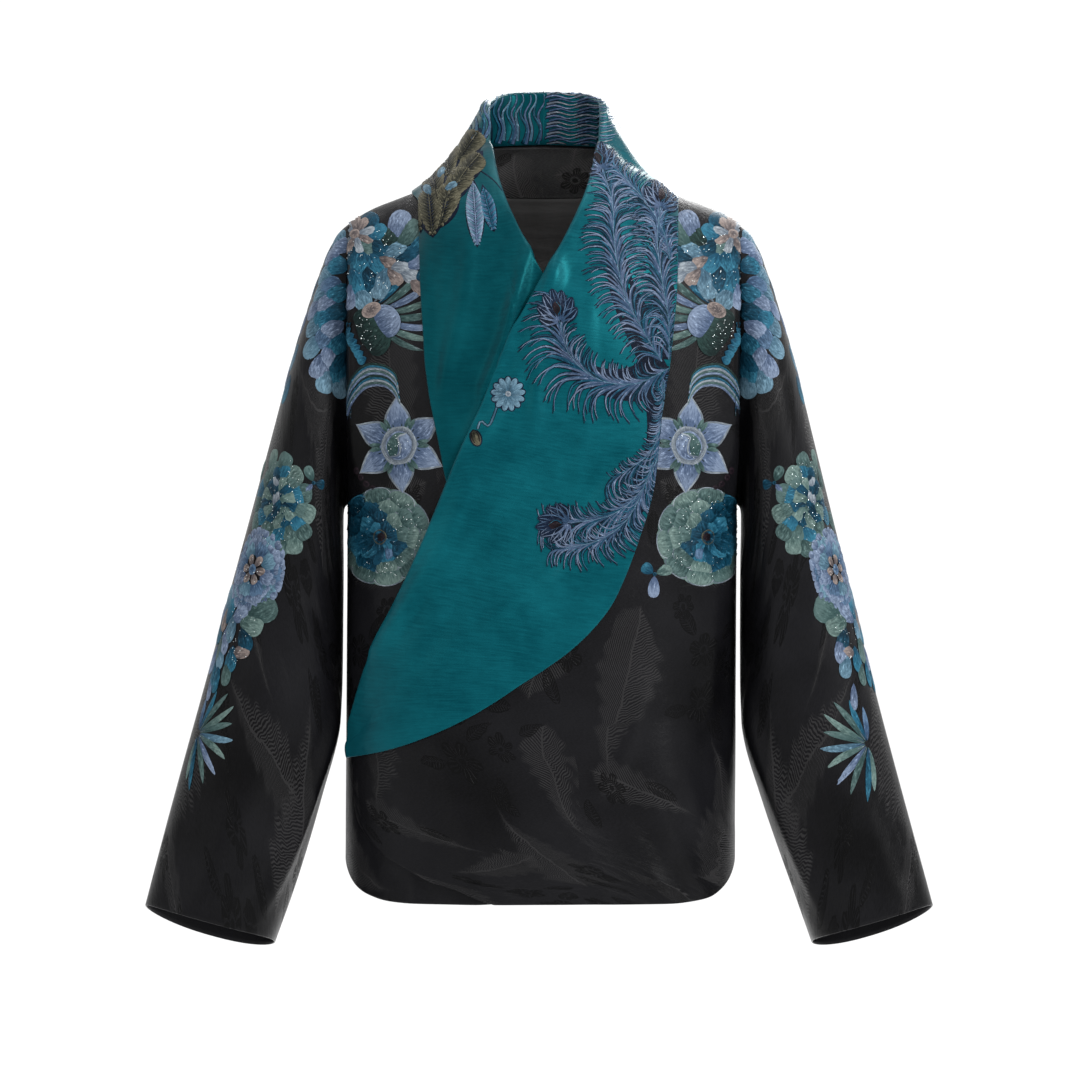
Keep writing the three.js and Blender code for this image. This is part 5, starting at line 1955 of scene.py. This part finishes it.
@dataclass
class Embroidery:
    """All figures stitched on the body, the sleeves and the lapels."""

    cloths: dict[str, Cloth]
    middle: float = 3.6

    def __post_init__(self) -> None:
        """Makes search trees of the cloths."""
        self.trees = {name: cloth.tree() for name, cloth in self.cloths.items()}

    def spot(self, cloth: str, x: float, z: float, side: int, azimuth: float = 0.0,
             wrap: bool = True) -> Place:
        """Finds a spot given for the wearer's right side, on either side.

        Args:
            cloth: The cloth's name without its side.
            x: Millimetres to the right as seen.
            z: Millimetres up.
            side: -1 for the wearer's right side, 1 for the left.
            azimuth: How far the viewer has walked round towards that sleeve, in degrees.
            wrap: Whether stitches follow round the cloth.

        Returns:
            The spot.
        """
        name = f"{cloth}_{'left' if side > 0 else 'right'}"
        at = x if side < 0 else 2 * self.middle - x
        return Place.seen(self.trees[name], at, z, side * azimuth, wrap)

    def shoulder(self, side: int) -> Needlework:
        """The figures on one side of the chest.

        Args:
            side: -1 for the wearer's right side, 1 for the left.

        Returns:
            The figures.
        """
        work = Needlework(f"chest_embroidery_{'left' if side > 0 else 'right'}", 40 + side)
        mirror = side > 0

        def at(x: float, z: float, turn: float = 0.0, layer: float = 0.0) -> Needle:
            """A needle on the front as seen."""
            return work.on(self.spot("front", x, z, side, wrap=False), turn, mirror, layer)

        StarBlossom().stitch(at(-128, -228))
        ScallopRound(44).stitch(at(-143, -311, 8))
        StripedArcs().stitch(at(-152, -176))
        for i, (x, z) in enumerate(((-167, -251), (-163, -257), (-158, -263), (-152, -267))):
            at(x, z, 20 * i).disc(5.2, 6.4, Thread.MAROON, 0.3)
        for turn, length, width, thread in (
            (-12, 42, 6, Thread.SAGE), (-24, 50, 6.5, Thread.CREAM), (-36, 52, 6, Thread.CYAN),
            (-48, 54, 6.5, Thread.SAGE), (-60, 55, 6.5, Thread.LAVENDER), (-72, 56, 6, Thread.MINT),
            (-84, 54, 6.5, Thread.SAGE), (-96, 52, 6, Thread.LAVENDER), (-107, 50, 6, Thread.MINT),
            (-119, 44, 5.5, Thread.SAGE),
        ):
            ray = at(-158, -113, turn)
            ray.petal(length, width, thread, 0.8, 0.8, start=16, puff=0.7, bow=4, rows=14)
            ray.moved(0, 0, layer=0.4).band([(1, 20), (4, 16 + length * 0.5), (0.5, 12 + length)], 0.8,
                                            Thread.CREAM, 0.2, 0.4)
        dome = at(-152, -124, -62, 0.5)
        for i in range(7):
            dome.moved(-18 + 6 * i, -16, 180, layer=0.05 * (i % 2)).petal(9, 8.5, Thread.CYAN, 0.8, 0.4,
                                                                          puff=0.6)
        dome.moved(0, -14, layer=0.2).petal(30, 46, Thread.FOREST, 0.32, 0.5, puff=0.9, rows=10, cols=11)
        dome.moved(-2, 4, layer=0.7).petal(24, 31, Thread.LAVENDER, 0.4, 0.5, puff=0.9, rows=10, cols=9)
        dome.moved(-17, 8, layer=1.1).disc(13, 19, Thread.ROSE_GOLD, 0.7)
        dome.moved(0, -6, layer=0.6).sequins(34, 18, 26, 0.8)
        for bit in self.cluster_bits():
            lobe = at(bit.x, bit.z, bit.turn, 0.35 + 0.12 * float(work.parts[-1][1].chance.random()))
            lobe.moved(0, -bit.length * 0.65).petal(bit.length * 1.3, bit.width * 1.3, bit.thread, bit.root,
                                                    bit.tip, puff=0.8, cols=7)
        round_work = at(-168, -36, 0, 0.9)
        for i in range(9):
            round_work.moved(0, 0, 40 * i).petal(17, 10, (Thread.ROSE_GOLD, Thread.CREAM)[i % 2], 0.7, 0.42,
                                                 start=2)
        round_work.moved(0, 0, layer=0.3).disc(9, 9, Thread.ROSE_GOLD, 0.5)
        at(-152, -60, 0, 0.9).sequins(60, 60, 60, 0.8)
        if side > 0:
            Sprig().stitch(at(-97, -345, 8))
        return work

    def cluster_bits(self) -> list[Bit]:
        """Lobes between the shoulder seam and the rays, as seen on the wearer's right side."""
        t = Thread
        return [
            Bit(-157, -27, -30, 20, 14, t.DEEP_BLUE), Bit(-150, -36, -60, 19, 13, t.CYAN),
            Bit(-160, -46, -100, 18, 14, t.SAGE), Bit(-147, -48, -120, 20, 13, t.DEEP_BLUE),
            Bit(-137, -40, -40, 22, 13, t.FOREST), Bit(-129, -29, -20, 25, 16, t.LAVENDER),
            Bit(-120, -36, -35, 24, 15, t.SAGE), Bit(-133, -52, -75, 20, 14, t.SKY),
            Bit(-121, -56, -80, 20, 14, t.DEEP_BLUE), Bit(-139, -60, -110, 14, 12, t.ROSE_GOLD),
            Bit(-127, -66, -100, 16, 12, t.CREAM), Bit(-133, -74, -130, 16, 11, t.ROSE_GOLD),
            Bit(-119, -73, -115, 16, 11, t.CREAM), Bit(-112, -82, -140, 18, 9, t.ROSE_GOLD),
            Bit(-113, -62, -60, 18, 11, t.LAVENDER), Bit(-107, -74, -80, 16, 10, t.CYAN),
            Bit(-150, -62, -150, 18, 14, t.CYAN), Bit(-163, -60, -190, 20, 14, t.CYAN),
            Bit(-172, -52, 150, 18, 14, t.DEEP_BLUE), Bit(-155, -76, 200, 22, 15, t.DEEP_BLUE),
            Bit(-144, -80, 160, 24, 15, t.SKY), Bit(-167, -78, 190, 24, 15, t.CYAN),
            Bit(-174, -92, 170, 20, 13, t.LAVENDER), Bit(-162, -93, 200, 20, 13, t.SKY),
            Bit(-110, -46, -50, 16, 12, t.CYAN), Bit(-105, -58, -70, 14, 10, t.SAGE),
        ]

    def sleeve(self, side: int) -> Needlework:
        """The figures down one sleeve.

        Args:
            side: -1 for the wearer's right side, 1 for the left.

        Returns:
            The figures.
        """
        work = Needlework(f"sleeve_embroidery_{'left' if side > 0 else 'right'}", 60 + side)
        mirror, t = side > 0, Thread

        def at(x: float, z: float, turn: float = 0.0, layer: float = 0.0, azimuth: float = 0.0) -> Needle:
            """A needle on the sleeve as seen."""
            return work.on(self.spot("sleeve", x, z, side, azimuth), turn, mirror, layer)

        band = [(-184, -42), (-190, -56), (-196, -72), (-201, -88), (-205, -104), (-207, -121), (-206, -138),
                (-201, -154), (-193, -167), (-184, -174)]
        rows = ((0, 22, (t.SKY, t.LAVENDER, t.SKY)), (10, 22, (t.STEEL, t.LAVENDER, t.CYAN)),
                (20, 21, (t.CYAN, t.DEEP_BLUE, t.LAVENDER)), (31, 20, (t.SAGE, t.FOREST, t.DEEP_BLUE)))
        for row, (shift, size, threads) in enumerate(rows):
            for i, (x, z) in enumerate(band):
                if x + shift > -179:
                    continue
                spot = at(x + shift + 2 * math.sin(3 * i + row),
                          z + 8 * (row % 2) + 2 * math.cos(5 * i + row),
                          60 + 13 * i + 12 * math.sin(2 * i + row), 0.16 * row + 0.05 * (i % 2))
                spot.moved(0, -size * 0.6).petal(size + 4, size - 2, threads[i % 3], 0.65, 0.4, puff=0.7,
                                                 cols=7)
        for i in range(9):
            far = at(-86 - 14 * (i % 2), -46 - 14 * i, 80 + 10 * i, 0.05 * (i % 2), 60)
            far.petal(28, 25, (t.SKY, t.LAVENDER, t.CYAN)[i % 3], 0.6, 0.4, cols=7)
        scallops = [(-252, -250, 30), (-260, -264, 55), (-263, -280, 80), (-258, -296, 105),
                    (-249, -310, 130), (-237, -320, 150), (-225, -318, 175), (-217, -306, 205),
                    (-213, -290, 240), (-216, -272, 270), (-224, -256, 300), (-233, -243, 330),
                    (-243, -240, 0)]
        for row, (reach, threads) in enumerate(((1.0, (t.MINT, t.SAGE)), (0.72, (t.SAGE, t.CYAN)),
                                                (0.42, (t.DEEP_BLUE, t.MINT)))):
            for i, (x, z, turn) in enumerate(scallops):
                lobe = at(-238 + (x + 238) * reach, -279 + (z + 279) * reach, turn,
                          0.17 * row + 0.06 * (i % 2))
                lobe.moved(0, -12).petal(21, 19, threads[i % 2], 0.7, 0.38, puff=0.7, cols=7)
        at(-238, -279, 0, 0.5).sequins(54, 80, 90, 0.8)
        heart = at(-240, -277, 12, 0.6)
        for i in range(5):
            petal = heart.moved(-6 + 3 * i, -14 + 7 * i, -40 + 16 * i, layer=0.05 * i)
            petal.petal(17, 11, (t.DEEP_BLUE, t.CREAM)[i % 2], 0.8, 0.45, puff=0.7)
        Sprig((t.SAGE, t.DEEP_BLUE, t.LAVENDER), 15).stitch(at(-206, -262, -38))
        FrilledBlossom(37).stitch(at(-261, -341, 0, 0.3))
        for x, z, turn, length, width, thread, azimuth in (
            (-236, -386, -70, 26, 22, t.SAGE, 0), (-245, -398, -110, 22, 18, t.MINT, 0),
            (-254, -390, -60, 20, 14, t.LAVENDER, 0), (-262, -402, 170, 22, 14, t.SKY, 0),
            (-250, -412, 200, 20, 13, t.DEEP_BLUE, 0), (-268, -414, 180, 22, 14, t.LAVENDER, 0),
            (-254, -424, -80, 16, 11, t.ROSE_GOLD, 0), (-262, -430, 175, 20, 12, t.CYAN, 0),
            (-272, -428, 190, 20, 12, t.SKY, 0), (-266, -442, 176, 20, 10, t.SAGE, 0),
            (-275, -446, 180, 24, 9, t.CYAN, 0), (-281, -456, 185, 20, 7, t.LAVENDER, 0),
            (-258, -396, 160, 22, 16, t.ROSE_GOLD, 60), (-268, -408, 200, 22, 16, t.CYAN, 60),
            (-252, -424, 180, 24, 14, t.SAGE, 60), (-262, -380, 20, 24, 18, t.SKY, 60),
            (-250, -390, -10, 22, 16, t.CYAN, 60), (-272, -392, 90, 24, 18, t.LAVENDER, 60),
            (-266, -436, 170, 22, 12, t.LAVENDER, 60), (-256, -448, 182, 22, 10, t.CYAN, 60),
        ):
            lobe = at(x - 19 if azimuth == 0 else x + 143, z + 8, turn, 0.35, azimuth)
            lobe.moved(0, -length * 0.6).petal(length * 1.25, width * 1.2, thread, 0.7, 0.42, puff=0.8,
                                               cols=7)
        at(-274, -397, 0, 0.7).sequins(40, 60, 40, 0.8)
        leaves = ((-28, 34, t.CYAN), (-46, 40, t.SAGE), (-64, 42, t.MINT), (-82, 38, t.SAGE),
                  (-100, 44, t.SKY), (-120, 42, t.MINT), (-140, 42, t.LAVENDER), (-160, 40, t.SAGE),
                  (-180, 42, t.CYAN), (-8, 26, t.STEEL), (170, 34, t.MINT))
        longer = tuple((turn, 1.18 * length, thread) for turn, length, thread in leaves)
        LeafFan(longer, 6.6).stitch(at(-311, -490, 6, 0.1))
        return work

    def over_lapel(self) -> Needlework:
        """The fronds on the over lapel."""
        work = Needlework("lapel_figures_over", 81)
        tree = self.trees["collar_left"]

        def at(x: float, z: float, turn: float = 0.0, layer: float = 0.0) -> Needle:
            """A needle on the over lapel as seen."""
            return work.on(Place.seen(tree, x, z, wrap=False), turn, layer=layer)

        place = at(72, -90)
        fronds = (
            Frond(((38, -60), (22, -34), (4, 2), (-4, 44), (-6, 84), (-16, 118)), (24, 34, 20),
                  (24, 34, 22)),
            Frond(((44, -58), (44, -24), (38, 14), (34, 50), (38, 84)), (22, 34, 22), (12, 30, 22)),
            Frond(((44, -66), (14, -80), (-20, -76), (-44, -54), (-54, -20)), (24, 46, 34), (16, 30, 18)),
            Frond(((38, -70), (38, -108), (28, -140), (2, -160)), (24, 44, 30), (8, 14, 12), heads=False),
            Frond(((40, -78), (38, -126), (24, -168), (-6, -196), (-50, -204)), (24, 42, 32), (8, 24, 28)),
            Frond(((30, -150), (10, -196), (-16, -218), (-48, -226)), (16, 28, 24), (6, 20, 20),
                  heads=False),
            Frond(((48, -64), (46, -100), (42, -140)), (10, 16, 10), (4, 7, 6), heads=False),
            Frond(((46, 30), (40, 56), (24, 84), (0, 112)), (16, 26, 20), (16, 26, 20), heads=False),
        )
        for i, frond in enumerate(fronds):
            frond.stitch(place.moved(0, 0, layer=0.13 * (i % 3)))
        nape = at(38, 74)
        for i in range(18):
            y = -31 + 3.1 * i
            for part in range(2):
                x = -34 + 28 * part + 2 * (i % 3)
                line = [(x, y), (x + 10, y + 1.8), (x + 22, y - 1.2), (x + 33, y + 1.5)]
                nape.band(line, 3.6, Thread.NAVY, 0.1, 0.8, 14)
                thread = (Thread.LAVENDER, Thread.CREAM, Thread.STEEL)[(i + part) % 3]
                nape.moved(0, 0, layer=0.15).band(line, 1.8, thread, 0.3, 0.6, 14)
        return work

    def under_lapel(self) -> Needlework:
        """The leaves, blossom and bud on the under lapel."""
        work = Needlework("lapel_figures_under", 83)

        def at(name: str, x: float, z: float, turn: float = 0.0, layer: float = 0.0) -> Needle:
            """A needle on a lapel as seen."""
            return work.on(Place.seen(self.trees[name], x, z, wrap=False), turn, layer=layer)

        olive = at("collar_right", -103, -10)
        for x, y, turn, long in ((28, 44, -34, 34), (20, 28, 8, 36), (26, 22, -40, 36), (10, 6, 14, 40),
                                 (16, 4, -34, 40), (-6, -24, 28, 44), (6, -28, 6, 50), (12, -20, -14, 46)):
            leaf = VeinedLeaf(long, 22, (Thread.OLIVE, Thread.OLIVE), 15)
            leaf.stitch(olive.moved(x, y, turn, layer=0.05))
        for x, y, turn in ((4, 10, 30), (10, 26, -20), (16, 14, -60)):
            olive.moved(x, y, turn, layer=0.5).petal(13, 7.5, Thread.SKY, 0.7, 0.5, puff=0.6)
        VeinedLeaf(62, 14, barbs=26).stitch(at("collar_right", -57, -16).moved(0, -30, 4))
        narrow = VeinedLeaf(42, 11, (Thread.STEEL, Thread.CYAN), barbs=18)
        narrow.stitch(at("collar_right", -46, -8).moved(4, -24, 14))
        for line in (((-14, 30), (0, 26), (14, 16), (22, 6)), ((-30, 36), (-12, 30), (-4, 20))):
            at("collar_right", -57, -2).band(line, 1.6, Thread.NAVY, 0.2, 0.9)
        nape = at("collar_right", -28, 74)
        for i in range(17):
            x, sway = -38 + 4.1 * i, 2.5 * math.sin(2.2 * i)
            curl = [(x, -31 + 3 * (i % 3)), (x + 3 + sway, -14), (x - 1, 0), (x + 4 - sway, 13), (x + 1, 27)]
            nape.band(curl, 4.2, Thread.NAVY, 0.1, 1.1, 18)
            nape.moved(0, 0, layer=0.15).band(curl, 2.6, (Thread.CYAN, Thread.STEEL, Thread.SKY)[i % 3], 0.3,
                                              0.6, 18)
        SmallBlossom().stitch(at("collar_left", -29, -181))
        return work

    def build(self, threads: dict[Thread, bpy.types.Material]) -> dict[str, bpy.types.Object]:
        """Stitches everything.

        Args:
            threads: The threads' materials.

        Returns:
            The figures by name.
        """
        works = [self.over_lapel(), self.under_lapel()]
        for side in (-1, 1):
            works += [self.shoulder(side), self.sleeve(side)]
        return {work.name: work.build(threads) for work in works}


@dataclass
class Jacket:
    """The whole jacket: its cloth pieces in the order in which they are sewn."""

    wrap: WrapForm = field(default_factory=WrapForm)
    cloths: dict[str, Cloth] = field(default_factory=dict)

    def panels(self) -> list[Panel]:
        """The body's panels, the neck facing and the back's lining."""
        wrap, body = self.wrap, self.wrap.body
        side = body.half_width
        inside = -(body.wall + 1)

        def flat_out(x: Array, level: Array) -> Array:
            """Lies a layer inside the back."""
            return np.full(np.broadcast(x, level).shape, inside)

        def even(reach: float, count: int) -> Array:
            """Shares of columns as far as a reach each side of the centre."""
            end = float(body.turn_of(np.array(reach)))
            return 0.5 + np.linspace(-end, end, count) / math.pi

        back = dict(
            body=body, face=1, inner=lambda level: np.full_like(level, -side),
            outer=lambda level: np.full_like(level, side),
        )
        facing_share = 3 / 7
        return [
            Panel("back", top=body.neckline_level, hem=lambda x: body.hem_at(1, x), lift=wrap.no_lift,
                  creases=CREASES[Layer.BACK], shares=even(side, 132), press=1.5, **back),
            Panel("front_right", body, -1,
                  inner=lambda level: np.minimum(-wrap.roll_x(level) - wrap.setback(level),
                                                 wrap.hidden_reach),
                  outer=lambda level: np.full_like(level, -side), top=np.zeros_like,
                  hem=lambda x: np.minimum(body.hem_at(-1, x),
                                           body.hem_level - 0.02 * blend_step(x, -60, -20)),
                  lift=wrap.no_lift, creases=CREASES[Layer.FRONT_UNDER], shares=np.linspace(0, 1, 84)),
            Panel("front_left", body, -1,
                  inner=lambda level: np.where(level < wrap.free_from,
                                               wrap.roll_x(level) + wrap.setback(level),
                                               wrap.free(level)),
                  outer=lambda level: np.full_like(level, side), top=np.zeros_like,
                  hem=lambda x: body.hem_at(-1, x), lift=wrap.over_lift, creases=CREASES[Layer.FRONT_OVER],
                  shares=np.linspace(0, 1, 96), closing=1.8, press=1.8, shoulder_rows=40, skirt_rows=110),
            Panel("neck_facing", top=body.neckline_level, hem=lambda x: body.hem_at(1, x), lift=flat_out,
                  shares=even(88, 50), shoulder_only=True, shoulder_to=facing_share, shoulder_rows=16,
                  **back),
            Panel("lining_back", top=lambda x: body.neckline_level(x) + 0.01,
                  hem=lambda x: body.hem_at(1, x) - 0.2, lift=flat_out, creases=CREASES[Layer.LINING],
                  shares=even(175, 110), shoulder_from=facing_share, shoulder_rows=26, **back),
        ]

    def collars(self) -> list[CollarHalf]:
        """The two collar halves, the over one first."""
        wrap = self.wrap
        names = "key roll edge spring fullness"
        over = [
            (0.149, 0.222, 8, 1), (0.27, 0.36, 9, 1), (0.4, 0.47, 8, 1), (0.513, 0.58, 6, 1),
            (0.603, 0.69, 3, 1), (0.694, 0.82, 1.5, 1), (0.778, 0.95, 1, 1), (0.866, 1.2, 1, 1),
            (1, 1.55, 1, 1), (1.25, 1.95, 1, 1), (1.55, 2.35, 1, 1), (1.9, 2.75, 1, 1), (2.3, 3.18, 1, 0.9),
            (2.7, 3.58, 1, 0.8), (3.1, 3.89, 0.8, 0.7), (3.5, 4.14, 0.6, 0.6), (3.8, 4.34, 0.6, 0.5),
            (4.05, 4.48, 1.2, 0.4), (4.23, 4.56, 1.6, 0.3),
        ]
        under = [
            (0.149, 0.26, 8, 1), (0.27, 0.4, 9, 1), (0.4, 0.52, 8, 1), (0.513, 0.66, 5, 0.8),
            (0.603, 0.82, 2, 0.4), (0.694, 1.0, 0.5, 0), (0.778, 1.31, 0, 0), (0.866, 1.75, 0, 0),
            (1, 2.09, 0, 0), (1.2, 2.46, 0, 0), (1.45, 2.76, 0, 0),
        ]
        over_edge = Curve((
            (0.22, 120.2), (0.69, 118.5), (0.98, 113), (1.53, 104.3), (2.15, 96.6), (2.51, 87), (3.18, 60.7),
            (3.58, 25.3), (3.89, -19), (4.14, -57), (4.34, -97), (4.48, -135), (4.56, -169),
        ))
        under_edge = Curve((
            (0.26, 113.1), (0.47, 111.2), (0.7, 109.6), (0.95, 105.5), (1.31, 100.6), (1.75, 91.5),
            (2.09, 84.7), (2.46, 70), (2.76, 45),
        ))
        return [
            CollarHalf("collar_left", wrap, 1, columns(names, [(i, *row) for i, row in enumerate(over)]),
                       len(over) - 1, over_edge, wrap.over_lift, 36, CREASES[Layer.LAPEL_OVER]),
            CollarHalf("collar_right", wrap, -1, columns(names, [(i, *row) for i, row in enumerate(under)]),
                       len(under) - 1, under_edge, wrap.no_lift, 18, CREASES[Layer.LAPEL_UNDER]),
        ]

    def build(self, finishes: dict[str, bpy.types.Material]) -> None:
        """Makes and dresses every cloth piece.

        Args:
            finishes: Finished materials by name.
        """
        dressed = {
            "back": ("jacquard", "inside"), "front_right": ("jacquard", "inside"),
            "front_left": ("jacquard", "inside"), "neck_facing": ("inside", "facing"),
            "lining_back": ("lining", "lining"), "collar_left": ("satin", "satin"),
            # collar_right wears a darker copy of the satin: painted shade for the collar half turned away
            # from the key lamp
            "collar_right": ("satin_crosswise", "satin_crosswise"), "sleeve_left": ("jacquard", "inside"),
            "sleeve_right": ("jacquard", "inside"),
        }
        for maker in [*self.panels(), *self.collars()]:
            self.cloths[maker.name] = maker.cloth()
        for name, side, layer in (("sleeve_left", 1, Layer.SLEEVE_LEFT),
                                  ("sleeve_right", -1, Layer.SLEEVE_RIGHT)):
            self.cloths[name] = SleeveForm(self.wrap.body, side, CREASES[layer]).cloth()
        for name, cloth in self.cloths.items():
            outside, inside = (finishes[key] for key in dressed[name])
            made = cloth.build(f"{name}_cloth", outside, inside)
            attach(made, "root")
            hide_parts(name)
            area = cloth.area()
            LOG.info("%s: %d faces, %.3f m2", made.name, len(made.data.polygons), area)


CREASES: dict[Layer, tuple[Crease, ...]] = {
    Layer.FRONT_OVER: (
        Crease((94, 396), (60, 476), 9, 1.6, bow=3, beside=0.6),
        Crease((78, 486), (136, 584), 8, -1.5, bow=-3, beside=0.5),
        Crease((116, 462), (150, 520), 13, 1.5, beside=0.4),
        Crease((20, 500), (60, 580), 16, 1.4, bow=4),
        Crease((-40, 470), (-14, 575), 14, -1.2, bow=-4),
        Crease((-90, 450), (-58, 560), 12, 1.2, bow=5, beside=0.4),
        Crease((162, 250), (150, 400), 10, 1.4, bow=3, beside=0.5),
        Crease((120, 300), (148, 440), 14, -1.2),
        Crease((168, 180), (140, 262), 8, 1.3, beside=0.5),
        Crease((100, 556), (128, 600), 10, 1.2),
    ),
    Layer.FRONT_UNDER: (
        Crease((-146, 486), (-112, 600), 10, 1.6, bow=5, beside=0.5),
        Crease((-160, 540), (-60, 600), 9, -1.4, bow=-4),
        Crease((-164, 300), (-150, 440), 9, -1.2, bow=3),
        Crease((-166, 190), (-140, 268), 8, 1.2, beside=0.5),
        Crease((-120, 560), (-96, 604), 8, 1.5),
        Crease((-158, 490), (-150, 590), 7, -1.3),
    ),
    Layer.BACK: (
        Crease((-150, 150), (-80, 250), 10, -1.6, bow=6, beside=0.4),
        Crease((150, 160), (84, 246), 10, -1.5, bow=-5, beside=0.4),
        Crease((-60, 90), (-30, 260), 14, 1.6, bow=5),
        Crease((64, 96), (28, 240), 14, 1.5, bow=-4),
        Crease((-128, 330), (-96, 590), 12, -1.8, bow=6, beside=0.4),
        Crease((122, 340), (104, 590), 12, 1.8, bow=5, beside=0.4),
        Crease((16, 380), (26, 600), 13, 1.7, bow=-5, beside=0.4),
        Crease((-40, 420), (-52, 600), 10, -1.4, bow=4),
        Crease((150, 480), (110, 600), 11, -1.6, bow=4),
    ),
    Layer.LINING: tuple(
        Crease((side * reach, level), (0, level + drop), 1.5, -2.4, fade=(-0.2, 0.3, 1.02, 1.1))
        for level, drop, reach in ((60.5, 2.5, 46), (63.5, 3.0, 52), (67, 4.5, 48), (72, 4.5, 40),
                                   (78, 5, 34), (86, 5, 30))
        for side in (-1, 1)
    ) + (Crease((0, 44), (0, 96), 2.0, -0.8), Crease((-60, 300), (-50, 560), 16, -4),
         Crease((70, 280), (62, 560), 16, -4)),
    Layer.LAPEL_OVER: (
        Crease((-4, 56), (-34, 150), 7, 1.5, bow=-6, beside=0.6, fade=(-0.1, 0.15, 0.7, 1.1)),
        Crease((6, 60), (30, 170), 10, 1.3, bow=5, beside=0.5, fade=(-0.1, 0.25, 0.7, 1.1)),
        Crease((-44, 150), (-104, 250), 8, 1.5, bow=-7, beside=0.5),
        Crease((10, 62), (-6, 220), 8, 1.6, bow=-5, beside=0.7, fade=(-0.1, 0.2, 0.8, 1.1)),
        Crease((26, 70), (14, 210), 6, -1.3, bow=-4, fade=(-0.1, 0.3, 0.7, 1.1)),
        Crease((40, 90), (34, 240), 9, 1.2, bow=4),
        Crease((-6, 110), (-46, 210), 7, 1.6, bow=6, beside=0.5),
        Crease((60, 190), (-60, 330), 14, -1.6, bow=-10),
        Crease((20, 230), (-90, 350), 9, 1.3, bow=-8, beside=0.5),
        Crease((74, 230), (10, 330), 10, 1.4, bow=-6, beside=0.4),
        Crease((-60, 250), (-128, 380), 9, 1.3, bow=6, beside=0.5),
        Crease((-90, 260), (-150, 390), 7, -1.1, bow=5),
        Crease((0, 300), (-100, 410), 10, -1.3, bow=-5),
        Crease((-110, 370), (-150, 410), 7, 1.0),
        Crease((86, 60), (76, 190), 10, -1.3, bow=4),
        Crease((-64, 70), (-40, 150), 6, 1.0),
        Crease((34, 320), (-40, 380), 8, 1.0, bow=-4),
    ),
    Layer.LAPEL_UNDER: (
        Crease((-12, 40), (-34, 120), 7, 1.4, bow=5, beside=0.5, fade=(-0.1, 0.3, 0.8, 1.1)),
        Crease((-37, 33), (-25, 112), 1.3, -0.8, bow=1, fade=(-0.05, 0.05, 0.95, 1.05)),
        Crease((-20, 62), (-50, 170), 7, 1.7, bow=6, beside=0.6),
        Crease((-44, 60), (-72, 210), 9, -1.3, bow=5),
        Crease((-66, 40), (-92, 180), 9, 1.3, bow=6, beside=0.5),
        Crease((-98, 60), (-100, 200), 8, -1.0),
        Crease((-24, 104), (-64, 214), 6, 1.2, bow=4, beside=0.5),
    ),
    Layer.SLEEVE_LEFT: (
        Crease((112, 57), (10, 128), 6, -1.8, bow=5, beside=-0.4, fade=(-0.1, 0.3, 1.0, 1.3)),
        Crease((60, 150), (150, 190), 8, 1.6, bow=4, beside=0.5),
        Crease((330, 176), (540, 158), 9, 2.2, bow=4, beside=0.6, fade=SLEEVE_FADE),
        Crease((230, 118), (330, 190), 10, -1.6, bow=-6),
        Crease((380, 100), (540, 120), 12, 1.4, bow=4, beside=0.4, fade=SLEEVE_FADE),
        Crease((200, 40), (300, 90), 12, 1.5, bow=5, beside=0.4),
        Crease((420, 70), (540, 60), 10, -1.3, fade=SLEEVE_FADE),
        Crease((120, 250), (260, 300), 12, 2.2, bow=8, beside=0.5),
        Crease((300, 230), (470, 250), 12, -1.8, bow=-6),
        Crease((330, 340), (520, 330), 14, 1.8, bow=5, beside=0.4, fade=SLEEVE_FADE),
    ),
    Layer.SLEEVE_RIGHT: (
        Crease((116, 52), (8, 124), 6, -1.9, bow=4, beside=-0.4, fade=(-0.1, 0.3, 1.0, 1.3)),
        Crease((70, 156), (160, 186), 8, 1.5, bow=-4, beside=0.5),
        Crease((300, 186), (548, 150), 9, 2.4, bow=-3, beside=0.6, fade=SLEEVE_FADE),
        Crease((240, 110), (320, 186), 10, -1.7, bow=-5),
        Crease((400, 112), (548, 96), 12, 1.3, bow=5, beside=0.4, fade=SLEEVE_FADE),
        Crease((180, 60), (280, 104), 12, 1.4, bow=-5, beside=0.4),
        Crease((430, 60), (548, 74), 10, -1.4, fade=SLEEVE_FADE),
        Crease((110, 260), (240, 310), 12, 2.0, bow=-8, beside=0.5),
        Crease((310, 240), (480, 236), 12, -1.9, bow=6),
        Crease((340, 330), (520, 346), 14, 1.7, bow=-5, beside=0.4, fade=SLEEVE_FADE),
    ),
}


def main() -> None:
    """Builds the studio and the jacket and reports each piece."""
    logging.basicConfig(level=logging.INFO, format="%(message)s")
    Studio().build()
    finishes = {
        "jacquard": JacquardFinish().make(),
        "facing": JacquardFinish("facing_jacquard", (0.030, 0.030, 0.031), (0.110, 0.105, 0.105),
                                 (0.014, 0.014, 0.014)).make(),
        "satin": SatinFinish("satin", (0.0003, 0.0120, 0.0185), (0.0026, 0.057, 0.072), 0.34, 0.21,
                             (0.02, 0.6, 0.66)).make(),
        # The same teal satin with darker colours: painted shade for the under collar, which faces away from
        # the key lamp; its slubs run crosswise
        "satin_crosswise": SatinFinish("satin_crosswise", (0.0003, 0.0090, 0.0135), (0.0014, 0.036, 0.045),
                                       0.34, 0.18, (0.02, 0.55, 0.6), slub_turn=80.0).make(),
        "inside": SatinFinish("inside", (0.003, 0.003, 0.0035), (0.007, 0.007, 0.008), 0.45, 0.05,
                              slub_turn=5.0).make(),
        "lining": SatinFinish("lining", (0.066, 0.064, 0.064), (0.122, 0.119, 0.118), 0.4, 0.2,
                              slub_turn=5.0).make(),
    }
    jacket = Jacket()
    jacket.build(finishes)
    threads = {thread: ThreadFinish(thread).make() for thread in Thread}
    Embroidery(jacket.cloths).build(threads)


if __name__ == "__main__":
    main()
